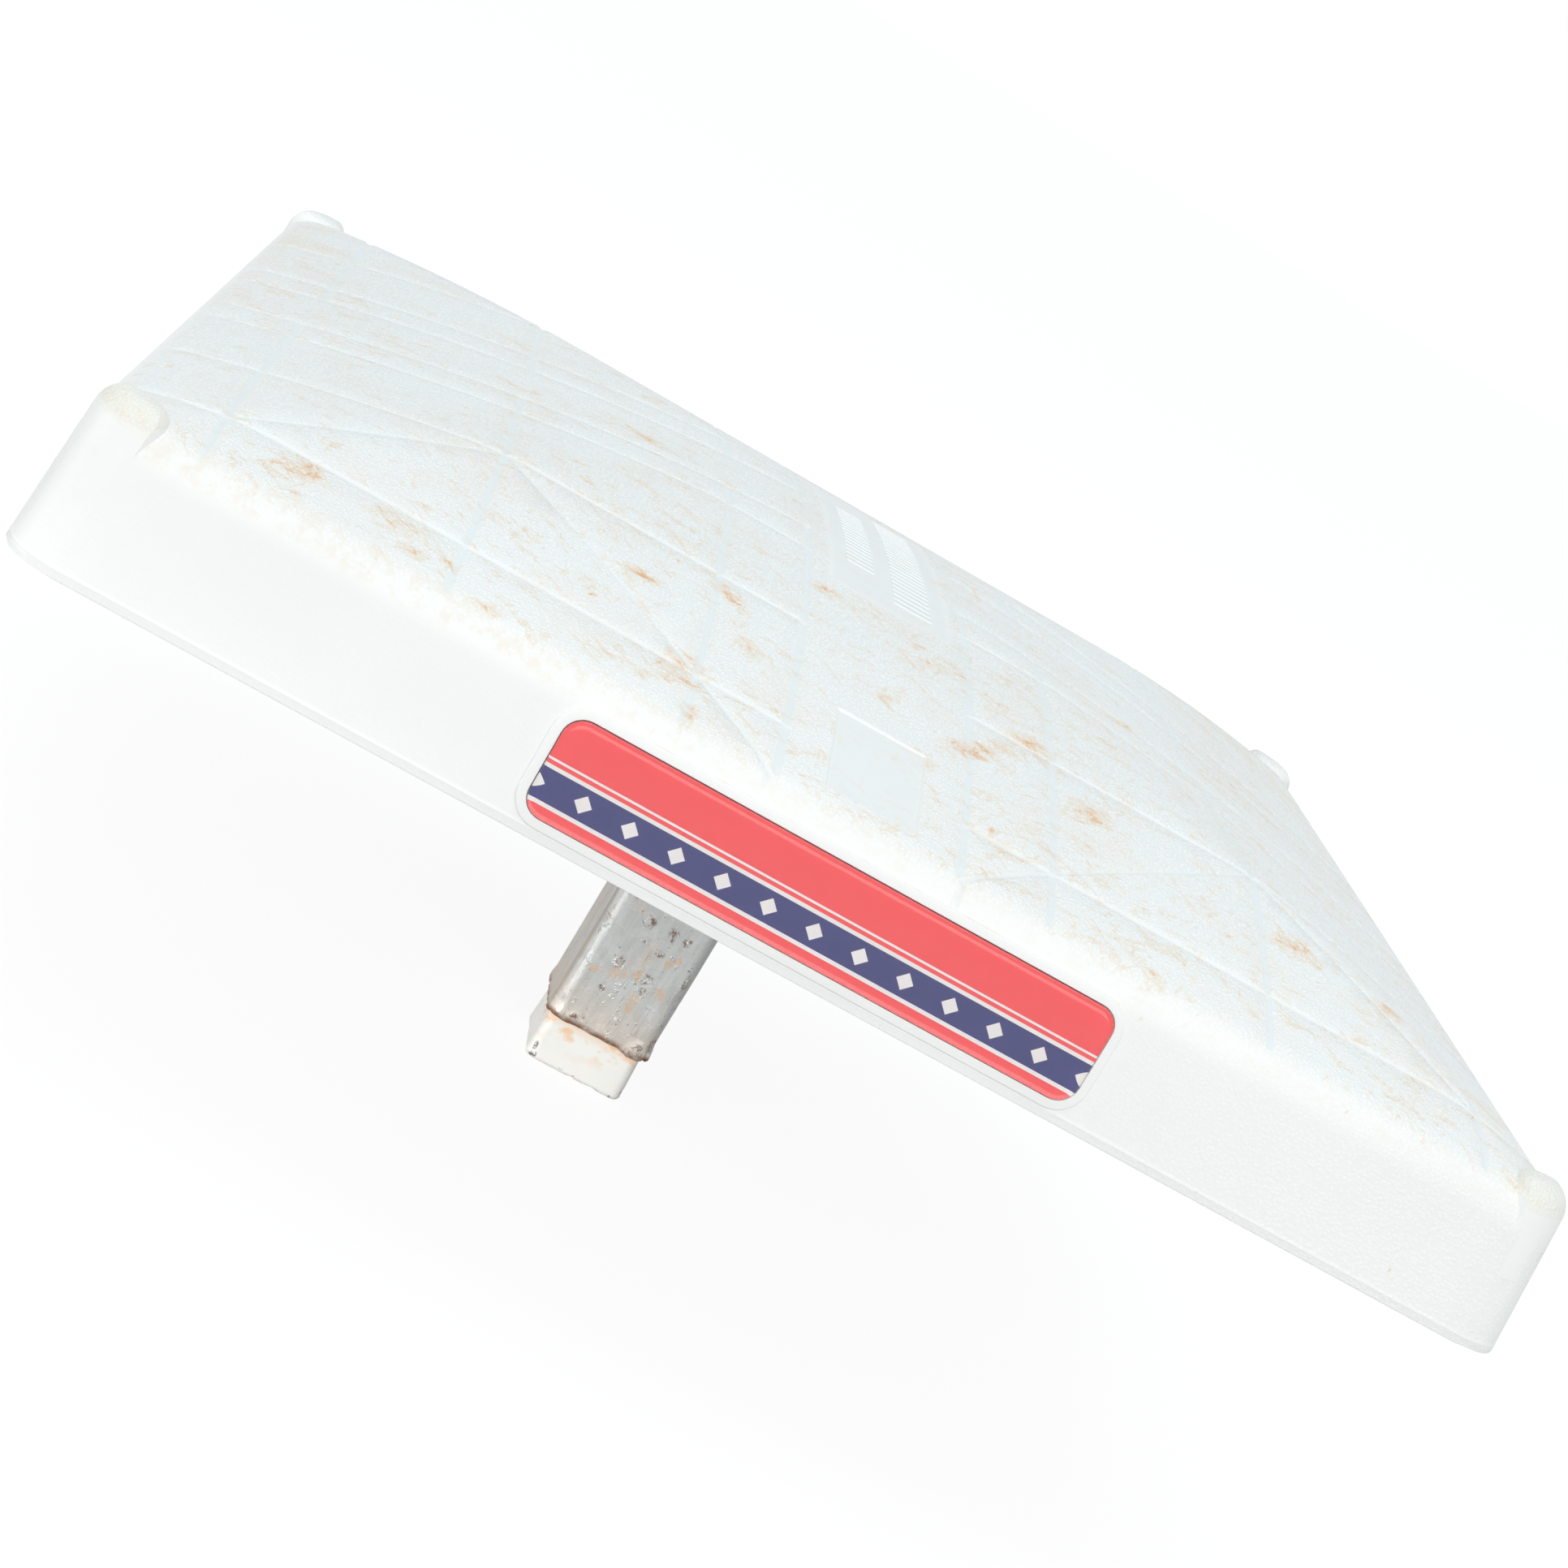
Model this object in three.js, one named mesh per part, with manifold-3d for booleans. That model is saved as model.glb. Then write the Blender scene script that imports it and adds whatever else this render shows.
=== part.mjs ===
// A square baseball base on a steel stanchion, in millimetres, +Z up.
// The origin is the centre of the underside; the stanchion hangs below it, into the ground anchor.
import * as THREE from 'three';
import { mergeVertices } from 'three/addons/utils/BufferGeometryUtils.js';
import Module from 'manifold-3d';

// Outer form of the cover
const BASE_SIDE = 457.2;
const CROWN_HEIGHT = 76.2;
const EDGE_HEIGHT = 44.5;
const EDGE_FILLET = 14;
const CORNER_RADIUS = 16;
const SIDE_DRAFT_DEGREES = 4.7;
const COVER_WALL = 6;
const LEAST_INNER_RADIUS = 4;
const CROWN_CAP = 3;
const LIP_THICKNESS = 4;
const LIP_WIDTH = 18;
const NUB_RADIUS = 9.3;
const NUB_INSET = 11.2;
const NUB_STAND = 5.8;
const NUB_ROUND = 5;

// Tread lines in the top
const STRIP_HALF = 28;
const INNER_LINE = 55.7;
const OUTER_LINE_MARGIN = 30;
const GROOVE_WIDTH = 3.2;
const GROOVE_DEPTH = 0.9;
const GROOVE_MARGIN = 6;
const DIAGONAL_WIDTH = 1.8;
const DIAGONAL_DEPTH = 0.5;

// Bare panel and plain bars in the strip along the middle
const PANEL_WIDTH = 28.5;
const PANEL_LENGTH = 45;
const PANEL_MARGIN = 11;
const PANEL_DEPTH = 0.9;
const BAR_HEIGHT = 0.6;
const NARROW_BAR_WIDTH = 10;
const NARROW_BAR_LENGTH = 92;
const NARROW_BAR_OFFSET = -9.2;
const WIDE_BAR_WIDTH = 13.5;
const WIDE_BAR_LENGTH = 132;
const WIDE_BAR_OFFSET = 8.9;

// Frame inside the cover
const CELL_PITCH = 42;
const RIB_THICKNESS = 4;
const FRAME_SKIN = 5;
const BOSS_DIAMETER = 26;

// Stanchion and the plate it is welded to
const TUBE_SIDE = 38.1;
const TUBE_WALL = 2.1;
const TUBE_CORNER = 5;
const TUBE_BELOW = 109.5;
const PLATE_SIDE = 127;
const PLATE_THICKNESS = 4.8;
const PLATE_CORNER = 8;
const WELD_LEG = 4;
const WELD_BELLY = 2.5;
const WELD_TOE = 0.6;

// Bolts through the plate
const BOLT_INSET = 17.5;
const BOLT_DIAMETER = 8;
const BOLT_LENGTH = 25;
const HEAD_ACROSS_FLATS = 13;
const HEAD_HEIGHT = 5.3;
const HEAD_ABOVE_UNDERSIDE = 0.4;
const WASHER_DIAMETER = 17;
const WASHER_THICKNESS = 1.6;
const INSERT_WALL = 2.2;
const INSERT_LENGTH = 22;

// Plug in the lower end of the tube
const PLUG_STEM = 32;
const PLUG_LEAD = 0.7;
const PLUG_LEAD_LENGTH = 2.6;
const PLUG_SHOW = 17.7;
const PLUG_HEAD_INSET = 1.8;
const PLUG_FLARE = 0.8;
const PLUG_EDGE_EASE = 0.5;
const PLUG_END_ROUND = 2.2;

// Screws that hold the lip to the frame
const SCREW_SPACING = 200;
const SCREW_DIAMETER = 4;
const SCREW_LENGTH = 14;
const SCREW_HEAD_DIAMETER = 8;
const SCREW_HEAD_HEIGHT = 2.2;
const SCREW_HEAD_FLAT = 5;
const SCREW_HEAD_ABOVE_UNDERSIDE = 0.1;

// Label on the front side, measured up the drafted face
const LABEL_WIDTH = 166;
const LABEL_HEIGHT = 28.6;
const LABEL_CORNER = 6;
const LABEL_CENTRE_UP = 20.5;
const LABEL_SHIFT = 1;
const SEAT_DEPTH = 0.8;
const LABEL_FRAME_WIDTH = 2.8;
const LABEL_FRAME_HEIGHT = 1;
const LABEL_FRAME_ROOT = 1.5;
const ADHESIVE_THICKNESS = 0.5;
const PRINT_THICKNESS = 0.4;
const DOME_EDGE = 0.6;
const DOME_RISE = 1.3;
const DOME_SHOULDER = 2.1;

// Clearances between pieces, and how far a cutting tool runs past the face it cuts
const FIT_GAP = 0.3;
const STACK_GAP = 0.2;
const OVERCUT = 1;

// Facets
const ARC_STEPS = 2;
const CROWN_RINGS = 6;
const FILLET_STEPS = 4;
const ROUND_SIDES = 16;
const HOLE_SIDES = 12;
const HEX_SIDES = 6;

// Levels and lines that several pieces share
const SIDE_DRAFT = THREE.MathUtils.degToRad(SIDE_DRAFT_DEGREES);
const HALF_SIDE = BASE_SIDE / 2;
const CROWN_RISE = CROWN_HEIGHT - EDGE_HEIGHT;
const SHARP_HALF = HALF_SIDE - EDGE_HEIGHT * Math.tan(SIDE_DRAFT);
const OUTER_LINE = SHARP_HALF - OUTER_LINE_MARGIN;
const MIDDLE_LINE = (INNER_LINE + OUTER_LINE) / 2;
const FRAME_INSET = COVER_WALL + FIT_GAP;
const FRAME_BOTTOM = LIP_THICKNESS + FIT_GAP;
const MOUTH_HALF = HALF_SIDE - LIP_WIDTH;
const SCREW_LINE = MOUTH_HALF + (LIP_WIDTH - COVER_WALL) / 2;
const SCREW_HEAD_TOP = SCREW_HEAD_ABOVE_UNDERSIDE + SCREW_HEAD_HEIGHT;
const SCREW_TIP = SCREW_HEAD_TOP + SCREW_LENGTH;
const SCREW_HOLE = SCREW_DIAMETER + 2 * FIT_GAP;
const HEAD_TOP = HEAD_ABOVE_UNDERSIDE + HEAD_HEIGHT;
const WASHER_BOTTOM = HEAD_TOP + STACK_GAP;
const PLATE_BOTTOM = WASHER_BOTTOM + WASHER_THICKNESS + STACK_GAP;
const PLATE_TOP = PLATE_BOTTOM + PLATE_THICKNESS;
const SEAT_FACE = PLATE_TOP + STACK_GAP;
const INSERT_TOP = SEAT_FACE + INSERT_LENGTH;
const BOLT_TIP = HEAD_TOP + BOLT_LENGTH;
const BOLT_HOLE = BOLT_DIAMETER + 2 * FIT_GAP;
const INSERT_DIAMETER = BOLT_HOLE + 2 * INSERT_WALL;
const TUBE_TOP = PLATE_BOTTOM - STACK_GAP;
const TUBE_BOTTOM = -TUBE_BELOW;
const ADHESIVE_LOW = STACK_GAP - SEAT_DEPTH;
const ADHESIVE_TOP = ADHESIVE_LOW + ADHESIVE_THICKNESS;
const PRINT_LOW = ADHESIVE_TOP + STACK_GAP;
const PRINT_TOP = PRINT_LOW + PRINT_THICKNESS;
const DOME_LOW = PRINT_TOP + STACK_GAP;
const ABOVE_ALL = 2 * CROWN_HEIGHT;

const wasm = await Module();
wasm.setup();

// Joins and cuts

function toSolid(geometry) {
  const bare = geometry.clone();
  bare.deleteAttribute('normal');
  bare.deleteAttribute('uv');
  const merged = mergeVertices(bare, 1e-4);
  return new wasm.Manifold(new wasm.Mesh({
    numProp: 3,
    vertProperties: Float32Array.from(merged.attributes.position.array),
    triVerts: Uint32Array.from(merged.index.array),
  }));
}

function toGeometry(solid) {
  const mesh = solid.getMesh();
  const geometry = new THREE.BufferGeometry();
  geometry.setAttribute('position', new THREE.BufferAttribute(mesh.vertProperties, 3));
  geometry.setIndex(new THREE.BufferAttribute(mesh.triVerts, 1));
  geometry.computeVertexNormals();
  return geometry;
}

function joined(geometries) {
  return geometries.map(toSolid).reduce((all, next) => all.add(next));
}

// Basic shapes

function roundedRectangle(halfX, halfY, radius) {
  const shape = new THREE.Shape();
  const x = halfX - radius;
  const y = halfY - radius;
  const corners = [[x, y], [-x, y], [-x, -y], [x, -y]];
  corners.forEach(([cx, cy], turn) => {
    const start = turn * Math.PI / 2;
    shape.absarc(cx, cy, radius, start, start + Math.PI / 2, false);
  });
  return shape;
}

function roundedSquare(half, radius) {
  return roundedRectangle(half, half, radius);
}

// A closed skin through shapes of equal point count, from the lowest to the highest.
function loft(sections) {
  const outlines = sections.map(({ shape }) => shape.getPoints(ARC_STEPS));
  const count = outlines[0].length;
  const positions = [];
  const index = [];
  sections.forEach(({ z }, level) => {
    for (const point of outlines[level]) positions.push(point.x, point.y, z);
  });
  for (let level = 0; level < sections.length - 1; level += 1) {
    const low = level * count;
    const high = low + count;
    for (let i = 0; i < count; i += 1) {
      const next = (i + 1) % count;
      index.push(low + i, low + next, high + next, low + i, high + next, high + i);
    }
  }
  const top = (sections.length - 1) * count;
  for (const [a, b, c] of THREE.ShapeUtils.triangulateShape(outlines[0], [])) {
    index.push(a, c, b);
    index.push(top + a, top + b, top + c);
  }
  const geometry = new THREE.BufferGeometry();
  geometry.setAttribute('position', new THREE.Float32BufferAttribute(positions, 3));
  geometry.setIndex(index);
  geometry.computeVertexNormals();
  return geometry;
}

function prism(shape, low, high) {
  const options = { depth: high - low, bevelEnabled: false, curveSegments: ARC_STEPS };
  return new THREE.ExtrudeGeometry(shape, options).translate(0, 0, low);
}

function block(sizeX, sizeY, low, high) {
  return new THREE.BoxGeometry(sizeX, sizeY, high - low).translate(0, 0, (low + high) / 2);
}

function upright(diameter, low, high, sides) {
  const geometry = new THREE.CylinderGeometry(diameter / 2, diameter / 2, high - low, sides);
  return geometry.rotateX(Math.PI / 2).translate(0, 0, (low + high) / 2);
}

// A profile of radius and height, turned about Z.
function turned(profile, sides) {
  const points = profile.map(([radius, height]) => new THREE.Vector2(radius, height));
  return new THREE.LatheGeometry(points, sides).rotateX(Math.PI / 2);
}

function ring(inner, outer, low, high) {
  const corners = [[inner / 2, low], [outer / 2, low], [outer / 2, high], [inner / 2, high]];
  return turned([...corners, corners[0]], ROUND_SIDES);
}

// The crowned form, drawn in by an inset: drafted sides, a filleted edge and a parabolic crown.
// Its level lines are rounded squares, so four curved faces meet on the diagonals.

function sideHalf(inset, z) {
  return HALF_SIDE - inset - z * Math.tan(SIDE_DRAFT);
}

function crownZ(inset, half) {
  const sharpZ = EDGE_HEIGHT - inset;
  return sharpZ + CROWN_RISE * (1 - (half / sideHalf(inset, sharpZ)) ** 2);
}

function crownedForm(inset, bottom) {
  const sharpZ = EDGE_HEIGHT - inset;
  const sharpHalf = sideHalf(inset, sharpZ);
  const crownSlope = Math.atan(2 * CROWN_RISE / sharpHalf);
  const edgeAngle = Math.PI / 2 + SIDE_DRAFT + crownSlope;
  const fillet = Math.max(EDGE_FILLET - inset, LEAST_INNER_RADIUS);
  const run = fillet / Math.tan(edgeAngle / 2);
  const crownStart = sharpHalf - run * Math.cos(crownSlope);
  const edge = new THREE.QuadraticBezierCurve(
    new THREE.Vector2(sideHalf(inset, sharpZ - run), sharpZ - run),
    new THREE.Vector2(sharpHalf, sharpZ),
    new THREE.Vector2(crownStart, crownZ(inset, crownStart)),
  );
  const profile = [new THREE.Vector2(sideHalf(inset, bottom), bottom), ...edge.getPoints(FILLET_STEPS)];
  for (let step = CROWN_RINGS - 1; step > 0; step -= 1) {
    const half = crownStart * step / CROWN_RINGS;
    profile.push(new THREE.Vector2(half, crownZ(inset, half)));
  }
  profile.push(new THREE.Vector2(CROWN_CAP, crownZ(inset, CROWN_CAP)));
  const cornerShare = Math.max(CORNER_RADIUS - inset, LEAST_INNER_RADIUS) / sideHalf(inset, 0);
  return loft(profile.map(({ x, y }) => ({ shape: roundedSquare(x, cornerShare * x), z: y })));
}

// Tread: grooves, a bare panel and plain bars that follow the crown

function standingBlock(fromX, fromY, toX, toY, width) {
  const length = Math.hypot(toX - fromX, toY - fromY);
  const geometry = block(length, width, EDGE_HEIGHT / 2, ABOVE_ALL);
  geometry.rotateZ(Math.atan2(toY - fromY, toX - fromX));
  return geometry.translate((fromX + toX) / 2, (fromY + toY) / 2, 0);
}

function inQuarters(quarterLines) {
  const sides = [[-1, -1], [1, -1], [1, 1], [-1, 1]];
  return sides.flatMap(([sideX, sideY]) => quarterLines.map(
    ([fromX, fromY, toX, toY]) => [sideX * fromX, sideY * fromY, sideX * toX, sideY * toY],
  ));
}

function straightLines() {
  const reach = SHARP_HALF - GROOVE_MARGIN;
  return inQuarters([STRIP_HALF, INNER_LINE, MIDDLE_LINE, OUTER_LINE].flatMap((step) => [
    [step, STRIP_HALF, step, reach],
    [STRIP_HALF, step, reach, step],
  ]));
}

function diagonalLines() {
  return inQuarters([
    [STRIP_HALF, 2 * MIDDLE_LINE - STRIP_HALF, MIDDLE_LINE, MIDDLE_LINE],
    [MIDDLE_LINE, MIDDLE_LINE, OUTER_LINE, OUTER_LINE],
  ]);
}

function sunkBy(depth, solid) {
  return solid.subtract(toSolid(crownedForm(0, 0).translate(0, 0, -depth)));
}

function grooves(lines, width, depth) {
  return sunkBy(depth, joined(lines.map((line) => standingBlock(...line, width))));
}

function treadCuts() {
  const panelFront = PANEL_MARGIN - SHARP_HALF;
  const panel = standingBlock(0, panelFront, 0, panelFront + PANEL_LENGTH, PANEL_WIDTH);
  return grooves(straightLines(), GROOVE_WIDTH, GROOVE_DEPTH)
    .add(grooves(diagonalLines(), DIAGONAL_WIDTH, DIAGONAL_DEPTH))
    .add(sunkBy(PANEL_DEPTH, toSolid(panel)));
}

function treadBars() {
  const bar = (offset, width, length) => standingBlock(offset, -length / 2, offset, length / 2, width);
  const raised = toSolid(crownedForm(0, 0).translate(0, 0, BAR_HEIGHT));
  return joined([
    bar(NARROW_BAR_OFFSET, NARROW_BAR_WIDTH, NARROW_BAR_LENGTH),
    bar(WIDE_BAR_OFFSET, WIDE_BAR_WIDTH, WIDE_BAR_LENGTH),
  ]).intersect(raised);
}

// Round buttons that rise out of the corners, with a rounded shoulder.
function cornerNubs() {
  const centre = SHARP_HALF - NUB_INSET;
  const root = EDGE_HEIGHT / 2;
  const top = EDGE_HEIGHT + NUB_STAND;
  const shoulder = [0, 30, 60, 90].map((degrees) => {
    const angle = THREE.MathUtils.degToRad(degrees);
    return [NUB_RADIUS - NUB_ROUND * (1 - Math.cos(angle)), top - NUB_ROUND * (1 - Math.sin(angle))];
  });
  const button = () => turned([[0, root], [NUB_RADIUS, root], ...shoulder, [0, top]], ROUND_SIDES);
  return atPlaces([[-centre, -centre], [centre, -centre], [centre, centre], [-centre, centre]], button);
}

// Label place: X along the front side, Y up the drafted face, Z out of it
const labelPlace = new THREE.Matrix4()
  .makeRotationX(Math.PI / 2 - SIDE_DRAFT)
  .setPosition(LABEL_SHIFT, -HALF_SIDE, 0);

function labelShape(grow) {
  return roundedRectangle(LABEL_WIDTH / 2 + grow, LABEL_HEIGHT / 2 + grow, LABEL_CORNER + grow);
}

function labelSheet(grow, low, high) {
  return prism(labelShape(grow), low, high).translate(0, LABEL_CENTRE_UP, 0);
}

// Where the fasteners stand

function boltPlaces() {
  const half = PLATE_SIDE / 2 - BOLT_INSET;
  return [[-half, -half], [half, -half], [half, half], [-half, half]];
}

function screwPlaces() {
  const half = SCREW_SPACING / 2;
  return [
    [-half, -SCREW_LINE], [half, -SCREW_LINE], [SCREW_LINE, -half], [SCREW_LINE, half],
    [half, SCREW_LINE], [-half, SCREW_LINE], [-SCREW_LINE, half], [-SCREW_LINE, -half],
  ];
}

function atPlaces(places, make) {
  return joined(places.map(([x, y]) => make().translate(x, y, 0)));
}

function holes(places, diameter, low, high) {
  return atPlaces(places, () => upright(diameter, low, high, HOLE_SIDES));
}

// The sub-parts

function coverGeometry() {
  const inside = toSolid(crownedForm(COVER_WALL, LIP_THICKNESS));
  const mouth = toSolid(prism(roundedSquare(MOUTH_HALF, CORNER_RADIUS), -OVERCUT, LIP_THICKNESS + OVERCUT));
  const frameGrow = FIT_GAP + LABEL_FRAME_WIDTH;
  const labelFrame = labelSheet(frameGrow, -LABEL_FRAME_ROOT, LABEL_FRAME_HEIGHT).applyMatrix4(labelPlace);
  const labelSeat = labelSheet(FIT_GAP, -SEAT_DEPTH, LABEL_FRAME_HEIGHT + OVERCUT).applyMatrix4(labelPlace);
  const headHole = SCREW_HEAD_DIAMETER + 2 * FIT_GAP;
  return toGeometry(toSolid(crownedForm(0, 0))
    .subtract(treadCuts())
    .add(treadBars())
    .add(cornerNubs())
    .add(toSolid(labelFrame))
    .subtract(toSolid(labelSeat))
    .subtract(inside.add(mouth))
    .subtract(holes(screwPlaces(), headHole, -OVERCUT, SCREW_HEAD_TOP + FIT_GAP))
    .subtract(holes(screwPlaces(), SCREW_HOLE, -OVERCUT, LIP_THICKNESS + OVERCUT)));
}

// Square cells open below, under a skin that follows the crown, with a boss left round each insert.
function frameCells() {
  const cell = CELL_PITCH - RIB_THICKNESS;
  const clear = SCREW_LINE - SCREW_HOLE / 2 - RIB_THICKNESS / 2;
  const rows = Math.floor(clear / CELL_PITCH);
  const cells = [];
  for (let i = -rows; i < rows; i += 1) {
    for (let j = -rows; j < rows; j += 1) {
      const x = (i + 0.5) * CELL_PITCH;
      const y = (j + 0.5) * CELL_PITCH;
      const far = Math.max(Math.abs(x), Math.abs(y)) + cell / 2;
      const roof = crownZ(FRAME_INSET, far) - FRAME_SKIN;
      cells.push(block(cell, cell, FRAME_BOTTOM - OVERCUT, roof).translate(x, y, 0));
    }
  }
  return joined(cells).subtract(holes(boltPlaces(), BOSS_DIAMETER, FRAME_BOTTOM, CROWN_HEIGHT));
}

function frameGeometry() {
  const recess = roundedSquare(PLATE_SIDE / 2 + FIT_GAP, PLATE_CORNER + FIT_GAP);
  const insertHole = INSERT_DIAMETER + 2 * FIT_GAP;
  const boltEnd = Math.max(BOLT_TIP, INSERT_TOP) + FIT_GAP;
  return toGeometry(toSolid(crownedForm(FRAME_INSET, FRAME_BOTTOM))
    .subtract(frameCells())
    .subtract(toSolid(prism(recess, FRAME_BOTTOM - OVERCUT, SEAT_FACE)))
    .subtract(holes(boltPlaces(), insertHole, SEAT_FACE - OVERCUT, INSERT_TOP + FIT_GAP))
    .subtract(holes(boltPlaces(), BOLT_HOLE, SEAT_FACE, boltEnd))
    .subtract(holes(screwPlaces(), SCREW_HOLE, FRAME_BOTTOM - OVERCUT, SCREW_TIP + FIT_GAP)));
}

function plateGeometry() {
  const plate = prism(roundedSquare(PLATE_SIDE / 2, PLATE_CORNER), PLATE_BOTTOM, PLATE_TOP);
  const boltHoles = holes(boltPlaces(), BOLT_HOLE, PLATE_BOTTOM - OVERCUT, PLATE_TOP + OVERCUT);
  return toGeometry(toSolid(plate).subtract(boltHoles));
}

function tubeGeometry() {
  const half = TUBE_SIDE / 2;
  const shape = roundedSquare(half, TUBE_CORNER);
  shape.holes.push(roundedSquare(half - TUBE_WALL, TUBE_CORNER - TUBE_WALL));
  return prism(shape, TUBE_BOTTOM, TUBE_TOP);
}

function weldGeometry() {
  const tubeFace = TUBE_SIDE / 2 + FIT_GAP;
  const around = (grow) => roundedSquare(tubeFace + grow, TUBE_CORNER + FIT_GAP + grow);
  const fillet = loft([
    { shape: around(WELD_TOE), z: TUBE_TOP - WELD_LEG },
    { shape: around(WELD_BELLY), z: TUBE_TOP - WELD_BELLY },
    { shape: around(WELD_LEG), z: TUBE_TOP - WELD_TOE },
    { shape: around(WELD_LEG), z: TUBE_TOP },
  ]);
  const bore = prism(around(0), TUBE_TOP - WELD_LEG - OVERCUT, TUBE_TOP + OVERCUT);
  return toGeometry(toSolid(fillet).subtract(toSolid(bore)));
}

// A stem in the tube, and below it a head a little wider than the bore, beaten wider still at its end.
function plugGeometry() {
  const stemHalf = TUBE_SIDE / 2 - TUBE_WALL - FIT_GAP;
  const headHalf = TUBE_SIDE / 2 - PLUG_HEAD_INSET;
  const tipHalf = headHalf + PLUG_FLARE;
  const corner = TUBE_CORNER - TUBE_WALL + PLUG_EDGE_EASE;
  const tip = TUBE_BOTTOM - PLUG_SHOW;
  const shoulder = TUBE_BOTTOM - STACK_GAP;
  const stemTop = TUBE_BOTTOM + PLUG_STEM;
  const endRound = [90, 60, 30, 0].map((degrees) => {
    const angle = THREE.MathUtils.degToRad(degrees);
    return {
      half: tipHalf - PLUG_END_ROUND * (1 - Math.cos(angle)),
      z: tip + PLUG_END_ROUND * (1 - Math.sin(angle)),
    };
  });
  const levels = [
    ...endRound,
    { half: headHalf, z: shoulder },
    { half: stemHalf, z: shoulder },
    { half: stemHalf, z: stemTop - PLUG_LEAD_LENGTH },
    { half: stemHalf - PLUG_LEAD, z: stemTop },
  ];
  return loft(levels.map(({ half, z }) => ({ shape: roundedSquare(half, corner), z })));
}

function boltGeometry() {
  const acrossCorners = HEAD_ACROSS_FLATS / Math.cos(Math.PI / HEX_SIDES);
  const head = upright(acrossCorners, HEAD_ABOVE_UNDERSIDE, HEAD_TOP, HEX_SIDES);
  const shank = upright(BOLT_DIAMETER, HEAD_TOP - HEAD_HEIGHT / 2, BOLT_TIP, HOLE_SIDES);
  return toGeometry(joined([head, shank]));
}

function washerGeometry() {
  return ring(BOLT_HOLE, WASHER_DIAMETER, WASHER_BOTTOM, WASHER_BOTTOM + WASHER_THICKNESS);
}

function insertGeometry() {
  return ring(BOLT_HOLE, INSERT_DIAMETER, SEAT_FACE, INSERT_TOP);
}

function screwGeometry() {
  const headMiddle = SCREW_HEAD_TOP - SCREW_HEAD_HEIGHT / 2;
  const head = turned([
    [0, SCREW_HEAD_ABOVE_UNDERSIDE],
    [SCREW_HEAD_FLAT / 2, SCREW_HEAD_ABOVE_UNDERSIDE],
    [SCREW_HEAD_DIAMETER / 2, headMiddle],
    [SCREW_HEAD_DIAMETER / 2, SCREW_HEAD_TOP],
    [0, SCREW_HEAD_TOP],
  ], HOLE_SIDES);
  const shank = upright(SCREW_DIAMETER, headMiddle, SCREW_TIP, HOLE_SIDES);
  return toGeometry(joined([head, shank]));
}

function domeGeometry() {
  const shoulder = [0, 30, 60, 90].map((degrees) => {
    const angle = THREE.MathUtils.degToRad(degrees);
    return {
      shape: labelShape(-DOME_SHOULDER * (1 - Math.cos(angle))),
      z: DOME_LOW + DOME_EDGE + DOME_RISE * Math.sin(angle),
    };
  });
  return loft([{ shape: labelShape(0), z: DOME_LOW }, ...shoulder]).translate(0, LABEL_CENTRE_UP, 0);
}

// The assembly

const WHITE_RUBBER = 0xeff3f5;
const BLACK_PLASTIC = 0x2b2c2e;
const GALVANISED = 0xa3a9ac;
const WELD_GREY = 0x7d7f80;
const ZINC = 0xb9bcbd;
const BRASS = 0xb69a58;
const WHITE_PLASTIC = 0xf1f0ea;
const LABEL_RED = 0xf4525c;
const ADHESIVE_WHITE = 0xe9e9e6;
const CLEAR_RESIN = 0xf6f7f8;

function piece(name, geometry, color, roughness, metalness) {
  const mesh = new THREE.Mesh(geometry, new THREE.MeshStandardMaterial({ color, roughness, metalness }));
  mesh.name = name;
  return mesh;
}

const base = new THREE.Group();
base.add(
  piece('cover', coverGeometry(), WHITE_RUBBER, 0.75, 0),
  piece('support_frame', frameGeometry(), BLACK_PLASTIC, 0.7, 0),
  piece('anchor_plate', plateGeometry(), GALVANISED, 0.5, 0.8),
  piece('stanchion_tube', tubeGeometry(), GALVANISED, 0.45, 0.8),
  piece('weld_bead', weldGeometry(), WELD_GREY, 0.55, 0.7),
  piece('end_plug', plugGeometry(), WHITE_PLASTIC, 0.5, 0),
);

boltPlaces().forEach(([x, y], i) => {
  const joint = new THREE.Group();
  joint.position.set(x, y, 0);
  joint.add(
    piece(`anchor_bolt_${i + 1}`, boltGeometry(), ZINC, 0.4, 0.9),
    piece(`bolt_washer_${i + 1}`, washerGeometry(), ZINC, 0.45, 0.9),
    piece(`threaded_insert_${i + 1}`, insertGeometry(), BRASS, 0.4, 0.9),
  );
  base.add(joint);
});

screwPlaces().forEach(([x, y], i) => {
  const screw = piece(`lip_screw_${i + 1}`, screwGeometry(), ZINC, 0.4, 0.9);
  screw.position.set(x, y, 0);
  base.add(screw);
});

const label = new THREE.Group();
label.applyMatrix4(labelPlace);
label.add(
  piece('label_adhesive', labelSheet(0, ADHESIVE_LOW, ADHESIVE_TOP), ADHESIVE_WHITE, 0.8, 0),
  piece('label_print', labelSheet(0, PRINT_LOW, PRINT_TOP), LABEL_RED, 0.4, 0),
  piece('label_dome', domeGeometry(), CLEAR_RESIN, 0.05, 0),
);
base.add(label);

export default base;
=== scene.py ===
"""Looks of a crowned baseball base on its steel stanchion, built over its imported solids, in metres."""

import math

import bmesh
import bpy
from mathutils import Matrix, Vector, noise


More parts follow.
